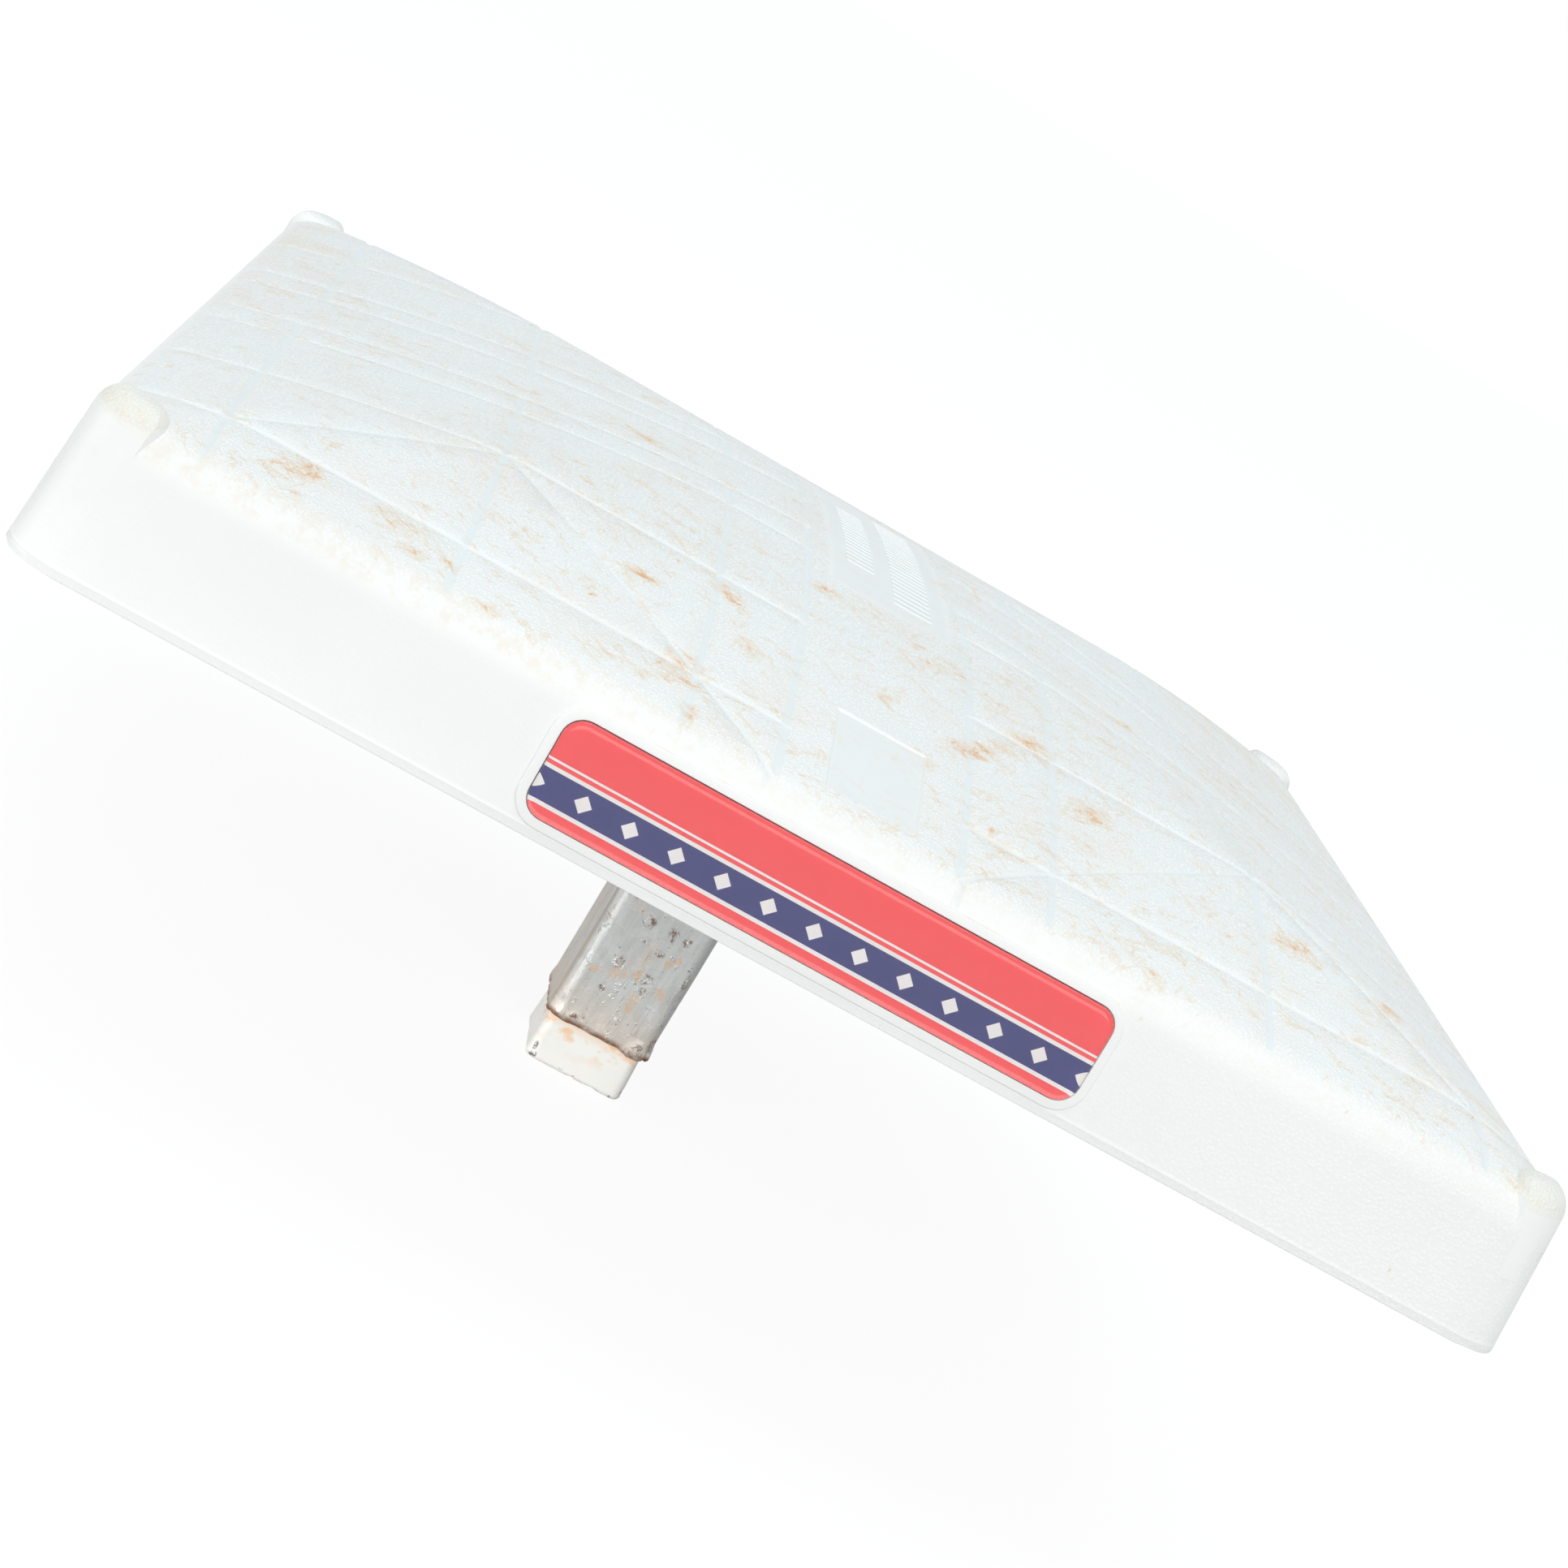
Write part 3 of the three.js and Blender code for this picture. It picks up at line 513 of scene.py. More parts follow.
    # Real scratches together with the painted glints and the painted corner highlight, lightened as one
    scratches_and_painted_highlights = finish.most(painted_glints, finish.times(scratches, 0.45), painted_corner_highlight)
    right_side_painted_shade = finish.blend(painted_right_shade, zinc, (0.13, 0.145, 0.15))
    scratched_and_highlit = finish.blend(scratches_and_painted_highlights, right_side_painted_shade, (0.86, 0.87, 0.87))
    dusted = finish.blend(dust, scratched_and_highlit, (0.34, 0.25, 0.17))
    clayed = finish.blend(clay, dusted, cover.clay)
    covered = finish.most(clay, rust, dust)
    beaten = finish.times(ragged, finish.ramp(battered, 0.0, 0.4, 0.3, 1.0))
    worked = finish.calc('SUBTRACT', beaten, scratches)
    return finish.shade(
        Base_Color=finish.blend(rust, clayed, stanchion.rust),
        Metallic=finish.calc('SUBTRACT', 0.6, finish.times(covered, 0.58)),
        Roughness=finish.most(rough, finish.ramp(covered, 0.0, 1.0, 0.0, 0.85)),
        Normal=finish.bump(worked, strength=0.6, distance=0.0007, under=grain))


def bare_metal(name, base, roughness):
    """Plated or turned metal with fine marks."""
    finish = Finish(name)
    marks = finish.clouds(finish.place, 420, detail=4, roughness=0.6)
    dark = [channel * 0.7 for channel in base]
    return finish.shade(
        Base_Color=finish.blend(finish.ramp(marks, 0.35, 0.7, 0.0, 0.6), base, dark),
        Metallic=0.95,
        Roughness=finish.ramp(marks, 0.3, 0.7, roughness - 0.06, roughness + 0.14),
        Normal=finish.bump(finish.clouds(finish.place, 1500, detail=2), strength=0.1, distance=0.0001))


def weld_metal(name):
    """Dark welded steel with heat tint and a little scale."""
    finish = Finish(name)
    tint = finish.clouds(finish.place, 150, detail=4)
    scale = finish.near(520, 0.55, 0.7)
    bare = finish.blend(finish.ramp(tint, 0.3, 0.7), (0.25, 0.25, 0.26), (0.17, 0.13, 0.1))
    return finish.shade(
        Base_Color=finish.blend(scale, bare, (0.08, 0.07, 0.065)),
        Metallic=0.8,
        Roughness=finish.ramp(tint, 0.3, 0.7, 0.35, 0.6),
        Normal=finish.bump(finish.clouds(finish.place, 900, detail=3), strength=0.2, distance=0.0003))


def stained_plug(stanchion, cover):
    """White plug with clay washed down from the tube, painted shade in the clay colour just under the
    tube's rim, faint scratches and dark chips at its end.
    """
    finish = Finish("plug_white")
    level = finish.along("Z")
    under_tube = finish.ramp(level, TUBE_LOW.z - 0.012, TUBE_LOW.z - 0.001, 0.08, 0.85)
    wash = finish.streaks((110, 110, 150), detail=6, roughness=0.68, shift=(0.5, 0.1, 0.2))
    # Painted shade: the plug darkens in the clay colour just under the tube's rim
    shaded_seam = finish.ramp(level, TUBE_LOW.z - 0.0045, TUBE_LOW.z - 0.0005, 0.0, 0.4)
    clay = finish.most(finish.times(finish.ramp(wash, 0.47, 0.63), under_tube), shaded_seam)
    ragged = finish.clouds(finish.place, 620, detail=4, roughness=0.7)
    chipped = finish.front_marks(CHIPS_ON_PLUG, PLUG_LOW.y, reach=4)
    chips = finish.times(finish.ramp(chipped, 0.1, 0.5), finish.ramp(ragged, 0.46, 0.54))
    low = finish.ramp(level, PLUG_LOW.z + 0.0022, PLUG_LOW.z + 0.0006)
    nicks = finish.times(finish.near(330, 0.64, 0.68), low)
    scratch = finish.ramp(finish.streaks((60, 60, 520), detail=3, turn=(0.4, 0.3, 0)), 0.69, 0.73)
    duller = [channel * 0.96 for channel in stanchion.plug]
    tone = finish.blend(finish.near(70, 0.35, 0.7, 0.0, 0.7, detail=4), stanchion.plug, duller)
    washed = finish.blend(clay, tone, [min(channel * 1.2, 1.0) for channel in cover.clay])
    scratched = finish.blend(finish.times(scratch, 0.22), washed, (0.3, 0.27, 0.24))
    dark = finish.times(finish.most(chips, nicks), 0.85)
    chipped_away = finish.calc('SUBTRACT', finish.times(ragged, 0.3), chips)
    return finish.shade(
        Base_Color=finish.blend(dark, scratched, (0.045, 0.04, 0.035)),
        Roughness=finish.ramp(wash, 0.3, 0.7, 0.42, 0.58),
        Normal=finish.bump(chipped_away, strength=0.25, distance=0.0005))


def printed_film(label):
    """A red field, a blue band low down, white pinstripes and a row of plain diamonds in the band."""
    finish = Finish("label_print_film")
    middle = (PRINT_LOW + PRINT_HIGH) / 2
    across = finish.calc('SUBTRACT', finish.along("X"), middle.x)
    up = finish.calc('SUBTRACT', finish.along("Z"), middle.z)

    def between(low, high):
        return finish.times(finish.calc('GREATER_THAN', up, low), finish.calc('LESS_THAN', up, high))

    band = between(label.band_low, label.band_high)
    lines = finish.most(
        between(label.band_low - label.pinstripe, label.band_low),
        between(label.band_high, label.band_high + label.pinstripe),
        between(label.band_high + 2 * label.pinstripe, label.band_high + 2.6 * label.pinstripe))
    beside = finish.calc('PINGPONG', across, label.diamond_pitch / 2)
    above = finish.calc('ABSOLUTE', finish.calc('SUBTRACT', up, (label.band_low + label.band_high) / 2))
    diamonds = finish.calc('LESS_THAN', finish.plus(beside, above), label.diamond)
    field = finish.blend(band, label.red, label.blue)
    return finish.shade(
        Base_Color=finish.blend(finish.most(lines, diamonds), field, label.white), Roughness=0.45)


def clear_resin():
    """Clear poured resin with faint scuffs."""
    finish = Finish("dome_resin")
    scuffs = finish.streaks((90, 90, 260), detail=4, roughness=0.65, turn=(0, 0.5, 0))
    return finish.shade(
        Base_Color=(0.985, 0.985, 0.985),
        Transmission_Weight=1.0,
        IOR=1.45,
        Roughness=finish.ramp(scuffs, 0.6, 0.75, 0.02, 0.14),
        Normal=finish.bump(finish.clouds(finish.place, 26, detail=2), strength=0.05, distance=0.0008))


# Mesh helpers

def add_piece(bm, name, nodes, materials, sharp=math.radians(35)):
    """Makes a finished piece of a bmesh, in the place of the CAD nodes that it stands for."""
    bmesh.ops.remove_doubles(bm, verts=bm.verts, dist=SAME_POINT)
    bmesh.ops.dissolve_degenerate(bm, dist=SAME_POINT, edges=bm.edges)
    mesh = bpy.data.meshes.new(name)
    bm.to_mesh(mesh)
    bm.free()
    for material in materials:
        mesh.materials.append(material)
    mesh.shade_smooth()
    mesh.set_sharp_from_angle(angle=sharp)
    piece = bpy.data.objects.new(name, mesh)
    bpy.context.scene.collection.objects.link(piece)
    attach(piece, "root")
    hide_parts(*nodes)


def dress(node, material):
    """Gives a CAD node its finish."""
    mesh = frame["nodes"][node].data
    mesh.materials.clear()
    mesh.materials.append(material)


def rounded_sheet(bm, half_x, half_y, corner, z, steps):
    """A flat face with rounded corners."""
    made = bmesh.ops.create_grid(bm, x_segments=1, y_segments=1, size=1)
    bmesh.ops.scale(bm, vec=(half_x, half_y, 1), verts=made["verts"])
    bmesh.ops.translate(bm, vec=(0, 0, z), verts=made["verts"])
    bmesh.ops.bevel(
        bm, geom=made["verts"], offset=corner, offset_type='OFFSET', affect='VERTICES', segments=steps,
        profile=0.5, material=-1)
    bm.faces.ensure_lookup_table()
    return bm.faces[-1]


def of_kind(geom, kind):
    return [item for item in geom if isinstance(item, kind)]


def raise_face(bm, face, rise, grow=1.0):
    """Extrudes a flat face along Z and returns the face at the new end."""
    made = bmesh.ops.extrude_face_region(bm, geom=[face])["geom"]
    verts = of_kind(made, bmesh.types.BMVert)
    bmesh.ops.translate(bm, vec=(0, 0, rise), verts=verts)
    bmesh.ops.scale(bm, vec=(grow, grow, 1), verts=verts)
    return of_kind(made, bmesh.types.BMFace)[0]


def ease_edges(bm, edges, width, steps):
    """Rounds edges off."""
    bmesh.ops.bevel(
        bm, geom=list(edges), offset=width, offset_type='OFFSET', affect='EDGES', segments=steps,
        profile=0.5, material=-1)


def edges_at_foot(bm, z):
    return [edge for edge in bm.edges if all(vert.co.z < z + ON_PLANE for vert in edge.verts)]


def turned(bm, profile, centre, steps):
    """Turns a profile of radius and height, which starts and ends on the axis, about an upright axis."""
    verts = [bm.verts.new((centre[0] + radius, centre[1], z)) for radius, z in profile]
    edges = [bm.edges.new(pair) for pair in zip(verts, verts[1:])]
    bmesh.ops.spin(
        bm, geom=verts + edges, cent=(*centre, 0), axis=UP, angle=2 * math.pi, steps=steps,
        use_merge=True)
    bmesh.ops.remove_doubles(bm, verts=bm.verts, dist=SAME_POINT)


def face_outwards(bm):
    """Closes the seams and turns all normals out."""
    bmesh.ops.remove_doubles(bm, verts=bm.verts, dist=SAME_POINT)
    bmesh.ops.recalc_face_normals(bm, faces=bm.faces)


def cut(bm, point, normal, faces=None):
    """Cuts a mesh, or some of its faces, along a plane."""
    if faces is None:
        geom = bm.verts[:] + bm.edges[:] + bm.faces[:]
    else:
        edges = {edge for face in faces for edge in face.edges}
        verts = {vert for face in faces for vert in face.verts}
        geom = [*verts, *edges, *faces]
    bmesh.ops.bisect_plane(bm, geom=geom, dist=ON_PLANE, plane_co=point, plane_no=normal)


def cut_both_ways(bm, pitch, count):
    """Cuts a mesh across X and across Y at an even pitch, on both sides of the middle."""
    for step in range(-count, count + 1):
        cut(bm, (pitch * step, 0, 0), (1, 0, 0))
        cut(bm, (0, pitch * step, 0), (0, 1, 0))


def combine(bm, other, operation):
    """Joins, cuts or crosses a closed mesh with another and returns the result. Both are used up."""
    objects = []
    for part in (bm, other):
        mesh = bpy.data.meshes.new("working")
        part.to_mesh(mesh)
        part.free()
        for _ in range(NUB + 1):
            mesh.materials.append(None)
        objects.append(bpy.data.objects.new("working", mesh))
        bpy.context.scene.collection.objects.link(objects[-1])
    modifier = objects[0].modifiers.new("combine", 'BOOLEAN')
    modifier.operation = operation
    modifier.solver = 'EXACT'
    modifier.object = objects[1]
    whole = objects[0].evaluated_get(bpy.context.evaluated_depsgraph_get())
    result = bmesh.new()
    result.from_mesh(whole.to_mesh())
    whole.to_mesh_clear()
    for working in objects:
        mesh = working.data
        bpy.data.objects.remove(working)
        bpy.data.meshes.remove(mesh)
    return result


# Cover

class CrownedForm:
    """Drafted sides, a soft edge and a crown, drawn in from the outside by an inset."""

    LEAST_RADIUS = 0.004

    def __init__(self, cover, inset):
        self.draft = math.tan(cover.side_draft)
        self.inset = inset
        self.rise = cover.crown_height - cover.edge_height
        self.edge_z = cover.edge_height - inset
        self.edge_half = self.side_half(self.edge_z)
        slope = math.atan(2 * self.rise / self.edge_half)
        fillet = max(cover.edge_fillet - inset, self.LEAST_RADIUS)
        run = fillet / math.tan((math.pi / 2 + cover.side_draft + slope) / 2)
        self.crown_start = self.edge_half - run * math.cos(slope)
        self.edge_foot = self.edge_z - run
        self.corner_share = max(cover.corner_radius - inset, self.LEAST_RADIUS) / self.side_half(0)

    def side_half(self, z):
        return HALF_SIDE - self.inset - z * self.draft

    def crown_z(self, half):
        return self.edge_z + self.rise * (1 - (half / self.edge_half) ** 2)

    def edge_point(self, t):
        """A point of the soft edge, as half width and height, from the side at 0 to the crown at 1."""
        foot = Vector((self.side_half(self.edge_foot), self.edge_foot))
        sharp = Vector((self.edge_half, self.edge_z))
        head = Vector((self.crown_start, self.crown_z(self.crown_start)))
        return foot * (1 - t) ** 2 + sharp * (2 * t * (1 - t)) + head * t ** 2

    def top_z(self, half):
        if half <= self.crown_start:
            return self.crown_z(half)
        low, high = 0.0, 1.0
        for _ in range(30):
            t = (low + high) / 2
            if self.edge_point(t).x > half:
                low = t
            else:
                high = t
        return self.edge_point(high).y

    def reach(self, x, y):
        """Half width of the rounded square through a point, all of these squares being alike."""
        big = max(abs(x), abs(y))
        small = min(abs(x), abs(y))
        straight = 1 - self.corner_share
        if small <= straight * big:
            return big
        a = 2 * straight ** 2 - self.corner_share ** 2
        b = straight * (big + small)
        c = big ** 2 + small ** 2
        return max(big, (b - math.sqrt(max(b * b - a * c, 0))) / a)


def tread_lines(cover, form):
    """The tread's grooves, each from one point to another."""
    far = form.edge_half - cover.line_margin
    outer = form.edge_half - cover.outer_margin
    middle = (cover.inner_line + outer) / 2
    strip = cover.strip_half
    straight = []
    slanted = []
    for side_x in (-1, 1):
        for side_y in (-1, 1):
            for step in (strip, cover.inner_line, middle, outer):
                for start, end in (((step, strip), (step, far)), ((strip, step), (far, step))):
                    straight.append(tuple(Vector((side_x * x, side_y * y)) for x, y in (start, end)))
            knee = Vector((side_x * middle, side_y * middle))
            slanted.append((Vector((side_x * strip, side_y * (2 * middle - strip))), knee))
            slanted.append((knee, Vector((side_x * outer, side_y * outer))))
    return straight, slanted


def line_distance(point, line):
    start, end = line
    way = end - start
    t = min(max((point - start).dot(way) / way.length_squared, 0), 1)
    return (point - start - way * t).length


def soft_step(value, start, end):
    t = min(max((value - start) / (end - start), 0), 1)
    return t * t * (3 - 2 * t)


def groove_share(point, lines, width):
    """How deep a point lies in a groove: one on its floor, nothing outside it."""
    away = min(line_distance(point, line) for line in lines)
    return 1 - soft_step(away, GROOVE_STEPS[0] * width, GROOVE_STEPS[-1] * width)


def rib_columns(cover):
    """The short ribs across the middle strip, as boxes, in a narrow and a wide column."""
    columns = []
    half = cover.rib_width / 2
    for left, right, end in RIB_COLUMNS:
        count = int(2 * end / cover.rib_pitch)
        first = -(count - 1) * cover.rib_pitch / 2
        middles = [first + i * cover.rib_pitch for i in range(count)]
        columns.append([(left, right, middle - half, middle + half) for middle in middles])
    return columns


def column_box(column):
    """The box round a whole column of ribs."""
    left, right, low, _ = column[0]
    return left, right, low, column[-1][3]


def inside(point, box, spare=0.0):
    left, right, low, high = box
    return left - spare < point.x < right + spare and low - spare < point.y < high + spare


def cut_box(bm, box, spare):
    """Cuts the sheet along the four sides of a box."""
    left, right, low, high = box
    sides = [((x, 0, 0), (1, 0, 0)) for x in (left, right)]
    sides += [((0, y, 0), (0, 1, 0)) for y in (low, high)]
    for point, normal in sides:
        faces = [face for face in bm.faces if inside(face.calc_center_median(), box, spare)]
        cut(bm, point, normal, faces)


def close_slivers(bm):
    """Merges points that lie too close for a sound face, and takes out faces with no area."""
    bmesh.ops.remove_doubles(bm, verts=bm.verts, dist=SLIVER)
    bmesh.ops.dissolve_degenerate(bm, dist=SLIVER / 10, edges=bm.edges)


def cover_sheet(cover, form, half):
    """The flat sheet for the top, with the edges that the tread and the soft edge need."""
    straight, slanted = tread_lines(cover, form)
    places = {line[0][axis] for line in straight for axis in (0, 1) if line[0][axis] == line[1][axis]}
    steps = [side * part for part in GROOVE_STEPS for side in (-1, 1)]
    groove_cuts = [place + cover.groove_width * step for place in places for step in steps]
    edge_steps = (0.7, 0.76, 0.82, 0.88, 0.94, 1.0)
    edge_cuts = [side * form.edge_point(t).x for t in edge_steps for side in (-1, 1)]
    spacing = 0.009
    beside_slant = 0.007
    count = int(half / spacing)
    plain_cuts = [i * spacing for i in range(-count, count + 1)
                  if all(abs(i * spacing - other) > spacing / 3 for other in groove_cuts + edge_cuts)]
    bm = bmesh.new()
    bmesh.ops.create_grid(bm, x_segments=1, y_segments=1, size=half)
    for place in plain_cuts + groove_cuts + edge_cuts:
        cut(bm, (place, 0, 0), (1, 0, 0))
    for place in plain_cuts + groove_cuts + edge_cuts:
        cut(bm, (0, place, 0), (0, 1, 0))
    for hip in ((1, 1, 0), (1, -1, 0)):
        cut(bm, (0, 0, 0), hip)
    for line in slanted:
        way = (line[1] - line[0]).normalized()
        normal = Vector((-way.y, way.x, 0))
        for step in steps:
            point = line[0].to_3d() + normal * cover.slant_width * step
            faces = [face for face in bm.faces
                     if line_distance(face.calc_center_median().to_2d(), line) < beside_slant]
            cut(bm, point, normal, faces)
    close_slivers(bm)
    return bm


def shape_top(bm, cover, form, half):
    """Rounds the sheet's corners and lifts it to the crown, with its grooves."""
    straight, slanted = tread_lines(cover, form)
    corner = form.corner_share * half
    for vert in bm.verts:
        over_x = abs(vert.co.x) - (half - corner)
        over_y = abs(vert.co.y) - (half - corner)
        if over_x > 0 and over_y > 0:
            turn = math.pi / 4 * min(over_x, over_y) / max(over_x, over_y)
            if over_y > over_x:
                turn = math.pi / 2 - turn
            out = max(over_x, over_y)
            vert.co.x = math.copysign(half - corner + out * math.cos(turn), vert.co.x)
            vert.co.y = math.copysign(half - corner + out * math.sin(turn), vert.co.y)
        point = vert.co.to_2d()
        sunk = max(
            groove_share(point, straight, cover.groove_width) * cover.groove_depth,
            groove_share(point, slanted, cover.slant_width) * cover.slant_depth)
        vert.co.z = form.top_z(form.reach(point.x, point.y)) - sunk
    # Groove faces take the finishes darkened as painted shade
    across = [line for line in straight if line[0].y == line[1].y]
    along = [line for line in straight if line[0].y != line[1].y]
    least = 0.3
    for face in bm.faces:
        point = face.calc_center_median().to_2d()
        shaded = max(
            groove_share(point, along, cover.groove_width),
            groove_share(point, slanted, cover.slant_width))
        if groove_share(point, across, cover.groove_width) > least:
            face.material_index = LIGHTLY_SHADED_GROOVE
        elif shaded > least:
            face.material_index = SHADED_GROOVE


def sink_panel_and_raise_ribs(bm, cover, form):
    """The sunk bare panel by the front edge, and the columns of short ribs."""
    front = cover.panel_margin - form.edge_half
    panel = (-cover.panel_width / 2, cover.panel_width / 2, front, front + cover.panel_length)
    panel_slope = 0.0007
    panel_spare = 0.012
    rib_slope = 0.00025
    rib_spare = 0.006
    columns = rib_columns(cover)
    boxes = [box for column in columns for box in column]
    cut_box(bm, panel, panel_spare)
    for box in boxes:
        cut_box(bm, box, rib_spare)
    close_slivers(bm)
    # Painted shade: the gaps between the ribs take the darkened groove finish
    for face in bm.faces:
        point = face.calc_center_median()
        if any(inside(point, column_box(column)) for column in columns):
            face.material_index = SHADED_GROOVE
    sunk = [face for face in bm.faces if inside(face.calc_center_median(), panel)]
    bmesh.ops.inset_region(
        bm, faces=sunk, thickness=panel_slope, depth=-cover.panel_depth, use_even_offset=True)
    ribs = [face for face in bm.faces if any(inside(face.calc_center_median(), box) for box in boxes)]
    for face in ribs:
        face.material_index = PEBBLED
    whole = bmesh.ops.dissolve_faces(bm, faces=ribs)["region"]
    bmesh.ops.inset_region(
        bm, faces=whole, thickness=rib_slope, depth=cover.rib_height, use_even_offset=True)


def side_profile(cover, form, start):
    """Half widths and heights from the sheet's rim down the outside, round the lip and up the inside."""
    inner = CrownedForm(cover, cover.wall)
    line_z = 0.0027
    ridge = 0.0001
    ease = 0.0006
    mouth = HALF_SIDE - cover.lip_width
    points = [tuple(form.edge_point(start * step / 7)) for step in range(6, -1, -1)]
    points += [(form.side_half(z), z) for z in (form.edge_foot - 0.002, line_z + 0.0012, line_z + 0.0003)]
    points += [(form.side_half(z) + ridge, z) for z in (line_z + 0.0001, line_z - 0.0001)]
    points += [(form.side_half(z), z) for z in (line_z - 0.0003, 0.0009)]
    points += [(HALF_SIDE - 0.0002, 0.0003), (HALF_SIDE - 0.0009, 0.0)]
    points += [(mouth + ease, 0.0), (mouth, ease), (mouth, cover.lip_thickness)]
    points += [(inner.side_half(cover.lip_thickness), cover.lip_thickness)]
    points += [tuple(inner.edge_point(step / 4)) for step in range(5)]
    crown_halves = [inner.crown_start * part for part in (0.8, 0.6, 0.4, 0.2, 0.05)]
    return points + [(half, inner.crown_z(half)) for half in crown_halves]


def label_place():
    """From the label's own frame, along, up and out of the front side, to the base's."""
    cover = bpy.context.scene.base_cover
    middle_x = (PRINT_LOW.x + PRINT_HIGH.x) / 2
    lean = Matrix.Rotation(math.pi / 2 - cover.side_draft, 4, 'X')
    return Matrix.Translation((middle_x, -HALF_SIDE, 0)) @ lean


def label_slab(bm, label, grow, low, high, ease):
    """A flat slab with the label's outline, grown all round, lying in the label's frame."""
    before = set(bm.verts)
    face = rounded_sheet(bm, PRINT_HALF + grow, label.height / 2 + grow, label.corner + grow, low, steps=8)
    top = raise_face(bm, face, high - low)
    if ease > 0:
        ease_edges(bm, top.edges, ease, steps=3)
    place_on_side(bm, label, [vert for vert in bm.verts if vert not in before])


def place_on_side(bm, label, verts):
    """Moves points from the label's own frame to its place on the front side."""
    bmesh.ops.translate(bm, vec=(0, label.centre_up, 0), verts=verts)
    bmesh.ops.transform(bm, matrix=label_place(), verts=verts)


def screw_places():
    """Where the lip screws stand, as x and y."""
    places = []
    for i in range(1, 9):
        low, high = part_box(f"lip_screw_{i}")
        places.append(((low.x + high.x) / 2, (low.y + high.y) / 2))
    return places


class BASE_OT_cover(bpy.types.Operator):
    """Moulds the white rubber cover: crown, tread, nubs, label frame, lip and screw recesses"""

    bl_idname = "base.cover"
    bl_label = "Cover"

    def execute(self, context):
        cover = context.scene.base_cover
        label = context.scene.base_label
        form = CrownedForm(cover, 0.0)
        rim_at = 0.66
        half = form.edge_point(rim_at).x
        bm = cover_sheet(cover, form, half)
        shape_top(bm, cover, form, half)
        sink_panel_and_raise_ribs(bm, cover, form)
        rim = [edge for edge in bm.edges if edge.is_boundary]
        reached = half
        for next_half, z in side_profile(cover, form, rim_at):
            made = bmesh.ops.extrude_edge_only(bm, edges=rim)["geom"]
            verts = of_kind(made, bmesh.types.BMVert)
            rim = of_kind(made, bmesh.types.BMEdge)
            bmesh.ops.scale(bm, vec=(next_half / reached, next_half / reached, 1), verts=verts)
            for vert in verts:
                vert.co.z = z
            reached = next_half
        bmesh.ops.edgeloop_fill(bm, edges=rim)
        bmesh.ops.triangulate(bm, faces=bm.faces)
        face_outwards(bm)
        bm = combine(bm, self.raised_forms(cover, label, form), 'UNION')
        bm = combine(bm, self.recesses(label), 'DIFFERENCE')
        # Name, pebbles, clay, tint, and between which upward looks a face counts as top; the grooves'
        # tints are painted shade, the nub's tint its own cream tone
        kinds = (
            ("pebbled_rubber", 1.0, 1.0),
            ("smooth_rubber", 0.25, 0.6),
            ("groove_rubber", 0.05, 0.7, (0.87, 0.915, 0.94)),
            ("cross_groove_rubber", 0.05, 0.6, (0.945, 0.96, 0.97)),
            ("nub_rubber", 1.0, 0.5, (0.99, 0.972, 0.915), (0.1, 0.5)),
        )
        finishes = [rubber_with_clay(cover, *kind) for kind in kinds]
        add_piece(bm, "moulded_cover", ["cover"], finishes)
        return {'FINISHED'}

    def raised_forms(self, cover, label, form):
        """The corner nubs and the frame round the label."""
        bm = self.corner_nubs(cover, form)
        nubs = set(bm.faces)
        grow = label.seat_gap + label.frame_width
        frame_foot = -0.0015
        frame_ease = 0.0006
        label_slab(bm, label, grow, frame_foot, label.frame_height, frame_ease)
        face_outwards(bm)
        head_low = cover.edge_height + cover.nub_stand - cover.nub_ease
        for face in bm.faces:
            middle = face.calc_center_median()
            face.material_index = SMOOTH
            if face in nubs and middle.z > head_low:
                face.material_index = NUB if middle.y < 0 else PEBBLED
        return bm

    def corner_nubs(self, cover, form):
        """Four round nubs, each cut off flush with the two sides that meet there, and rounded above."""
        posts = bmesh.new()
        centre = form.edge_half - cover.nub_inset
        top = cover.edge_height + cover.nub_stand
        foot = cover.edge_height / 2
        shoulder = []
        for step in range(9):
            angle = math.pi / 2 * step / 8
            radius = cover.nub_radius - cover.nub_round * (1 - math.cos(angle))
            shoulder.append((radius, top - cover.nub_round * (1 - math.sin(angle))))
        profile = [(0, foot), (cover.nub_radius, foot), *shoulder, (0, top)]
        for side_x in (-1, 1):
            for side_y in (-1, 1):
                turned(posts, profile, (side_x * centre, side_y * centre), steps=64)
        face_outwards(posts)
        overlap = 0.001
        room_high = cover.edge_height - 0.0022
        body = self.drafted_block(form, cover.nub_sunk, foot - overlap, top, cover.nub_ease)
        room = self.drafted_block(form, cover.wall - overlap, foot - 2 * overlap, room_high, 0)
        return combine(posts, combine(body, room, 'DIFFERENCE'), 'INTERSECT')

    def drafted_block(self, form, inset, low, high, ease):
        """A block that follows the four sides at an inset, with an eased upper edge."""
        bm = bmesh.new()
        half = form.side_half(low) - inset
        face = rounded_sheet(bm, half, half, form.corner_share * half, low, steps=12)
        head = raise_face(bm, face, high - low, (form.side_half(high) - inset) / half)
        face_outwards(bm)
        if ease > 0:
            ease_edges(bm, head.edges, ease, steps=8)
        return bm

